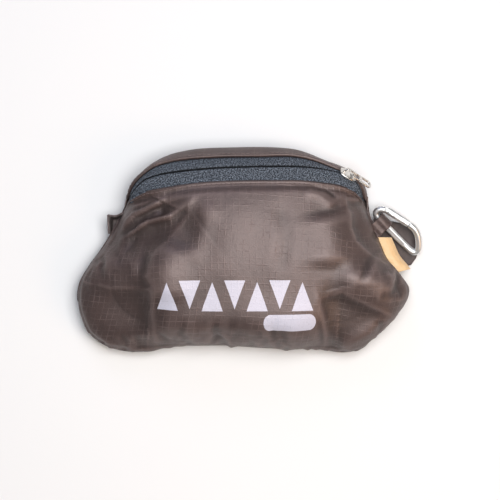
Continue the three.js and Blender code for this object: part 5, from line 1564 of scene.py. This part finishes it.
# %% Metal
def metal(name, light, dark, rough, scratch_scale, relief):
    """A metal with clouded colour, and scratches that show in its roughness and relief."""
    material, tree, shader = finish_named(name, Metallic=1.0)
    where = add(tree, "ShaderNodeTexCoord").outputs["Object"]
    cloud = add(tree, "ShaderNodeTexNoise", {"Vector": where, "Scale": 160.0, "Detail": 4.0})
    marks = add(tree, "ShaderNodeTexNoise", {
        "Vector": where, "Scale": scratch_scale, "Detail": 6.0, "Roughness": 0.7})
    tone = add(tree, "ShaderNodeMix", {
        0: cloud.outputs["Fac"], 6: linear(dark), 7: linear(light)}, data_type="RGBA")
    tree.links.new(tone.outputs[2], shader.inputs["Base Color"])
    roughness = add(tree, "ShaderNodeMapRange", {
        "Value": marks.outputs["Fac"], "From Min": 0.3, "From Max": 0.7,
        "To Min": rough - 0.08, "To Max": rough + 0.12})
    tree.links.new(roughness.outputs[0], shader.inputs["Roughness"])
    bump = add(tree, "ShaderNodeBump", {
        "Strength": relief, "Distance": 0.00005, "Height": marks.outputs["Fac"]})
    tree.links.new(bump.outputs[0], shader.inputs["Normal"])
    return material


tumbled_aluminium = metal("tumbled_aluminium", "f0f1f1", "d2d4d5", 0.4, 900.0, 0.25)
nickel_plate = metal("nickel_plated_zinc", "e8e6e2", "c4c0ba", 0.24, 1100.0, 0.06)
for piece in (carabiner_rod, *tongues, nodes["carabiner_gate"], nodes["gate_rivet"]):
    wear(piece, tumbled_aluminium)
for piece in (slider_body, pull_tab):
    wear(piece, nickel_plate)

coil_nylon, tree, shader = finish_named("moulded_nylon_coil", Roughness=0.4)
where = add(tree, "ShaderNodeTexCoord").outputs["Object"]
turns = add(tree, "ShaderNodeTexWave", {"Vector": where, "Scale": 110.0})
tone = add(tree, "ShaderNodeMix", {
    0: turns.outputs["Fac"], 6: linear("0d0f12"), 7: linear("24272c")}, data_type="RGBA")
tree.links.new(tone.outputs[2], shader.inputs["Base Color"])
wear(nodes["zip_coil"], coil_nylon)
print("Metal and coil are ready")

# %% [markdown]
# ## The studio
#
# A plain pale table under a large soft light, which stands above and a little to the right. A
# weak warm one fills from the right and a weaker cool one from behind the zip, as the shading
# in the photograph says.

# %% The studio
FLOOR_SIZE = 4.0
floor_mesh = bpy.data.meshes.new("floor")
corners = np.array([(-1, -1, 0), (1, -1, 0), (1, 1, 0), (-1, 1, 0)]) * FLOOR_SIZE / 2
floor_mesh.from_pydata(corners - (0, 0, 0.0003), [], [(0, 1, 2, 3)])
floor = bpy.data.objects.new("floor", floor_mesh)
bpy.context.scene.collection.objects.link(floor)
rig.stage(floor)
pale_table, tree, shader = finish_named("pale_painted_board", Roughness=0.8)
shader.inputs["Base Color"].default_value = linear("dadada")
wear(floor, pale_table)

for name, place, size, power, tint in (
    ("key_light", (0.22, 0.06, 1.28), 0.9, 23.0, "ffffff"),
    ("warm_light", (0.9, -0.5, 0.8), 0.6, 4.2, "ffd0a4"),
    ("cool_light", (-0.3, 0.9, 0.8), 0.6, 2.2, "d0d8ff"),
):
    data = bpy.data.lights.new(name, "AREA")
    data.size, data.energy, data.color = size, power, linear(tint)[:3]
    lamp = bpy.data.objects.new(name, data)
    lamp.location = place
    lamp.rotation_euler = (-Vector(place)).to_track_quat("-Z", "Y").to_euler()
    bpy.context.scene.collection.objects.link(lamp)

world = bpy.data.worlds.new("studio")
bpy.context.scene.world = world
world.use_nodes = True
world.node_tree.nodes["Background"].inputs["Color"].default_value = linear("f2f3f5")
world.node_tree.nodes["Background"].inputs["Strength"].default_value = 0.12
bpy.context.scene.view_settings.view_transform = "Standard"
print("Studio: a table and three soft lights")

# %% [markdown]
# ## What each piece is
#
# Every piece rides on a body of the frame, names the finish slot it belongs to, and stands
# for the solid that it covers. The cloths also say what size they were cut to.

# %% What each piece is
ON_POUCH = {
    "ripstop_cloth": [
        pocket_front, pocket_back, folded_load, corner_fold, corner_rim, loop_band, cloth_tail,
        zip_end_left, zip_end_right,
    ],
    "zip_tape": [zip_tape_front, zip_tape_back],
    "aluminium": [carabiner_rod, *tongues],
    "nickel": [slider_body],
    "label_ribbon": [ribbon_label],
}
for slot, pieces in ON_POUCH.items():
    for piece in pieces:
        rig.ride(piece, "pouch")
        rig.slot(piece, slot)
for piece in (front_stitches, back_stitches):
    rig.ride(piece, "pouch")
    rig.slot(piece, "ripstop_cloth")

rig.ride(pull_tab, "pull")
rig.slot(pull_tab, "nickel")

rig.replaces(slider_body, "zip_slider")
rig.replaces(pull_tab, "zip_pull_tab")
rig.replaces(pocket_front, "front_panel")
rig.replaces(pocket_back, "back_panel")
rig.replaces(zip_end_left, "back_panel")
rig.replaces(zip_end_right, "back_panel")
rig.replaces(folded_load, "folded_pack")
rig.replaces(corner_fold, "corner_tab")
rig.replaces(corner_rim, "corner_tab")
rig.replaces(loop_band, "side_loop")
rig.replaces(cloth_tail, "strap_tail")
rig.replaces(zip_tape_front, "zip_tape_lower")
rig.replaces(zip_tape_back, "zip_tape_upper")
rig.replaces(carabiner_rod, "carabiner_body")
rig.replaces(ribbon_label, "side_label")


def cut_size(points):
    """The width, length and area, in metres, of the cloth of a grid laid flat."""
    sides = np.cross(np.diff(points, axis=1)[:-1], np.diff(points, axis=0)[:, :-1])
    width, length = (
        np.linalg.norm(np.diff(points, axis=1 - k), axis=-1).sum(1 - k).max() * MM for k in (0, 1)
    )
    area = np.linalg.norm(sides, axis=-1).sum() * MM * MM
    print(round(width, 3), "x", round(length, 3), "m, area", round(area, 5), "m2")
    return {"flat": (width, length), "area": min(area, width * length)}


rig.sheet(pocket_front, held="stretched", rests_on=["folded_load"], **cut_size(front_bare))
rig.sheet(
    pocket_back, held="stretched", rests_on=["folded_load"],
    with_pieces=[zip_end_left, zip_end_right], **cut_size(back_bare)
)
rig.padded(folded_load, fill=0.9)
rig.sheet(ribbon_label, held="folded", rests_on=["pocket_front"], **cut_size(label_grid))
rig.sheet(corner_fold, held="folded", rests_on=["pocket_back"], **cut_size(fold_grid))
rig.sheet(cloth_tail, flat=(TAIL_WIDTH * MM, TAIL_LENGTH * MM), held="laid")

# %% The last lines: both boxes, and the finish
def plain(box):
    """A box as plain lists of numbers."""
    return [[float(c) for c in corner] for corner in box]


with open("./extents.json", "w") as size_file:
    json.dump({"cad": plain(cad_box), "visual": plain(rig.bounds())}, size_file)
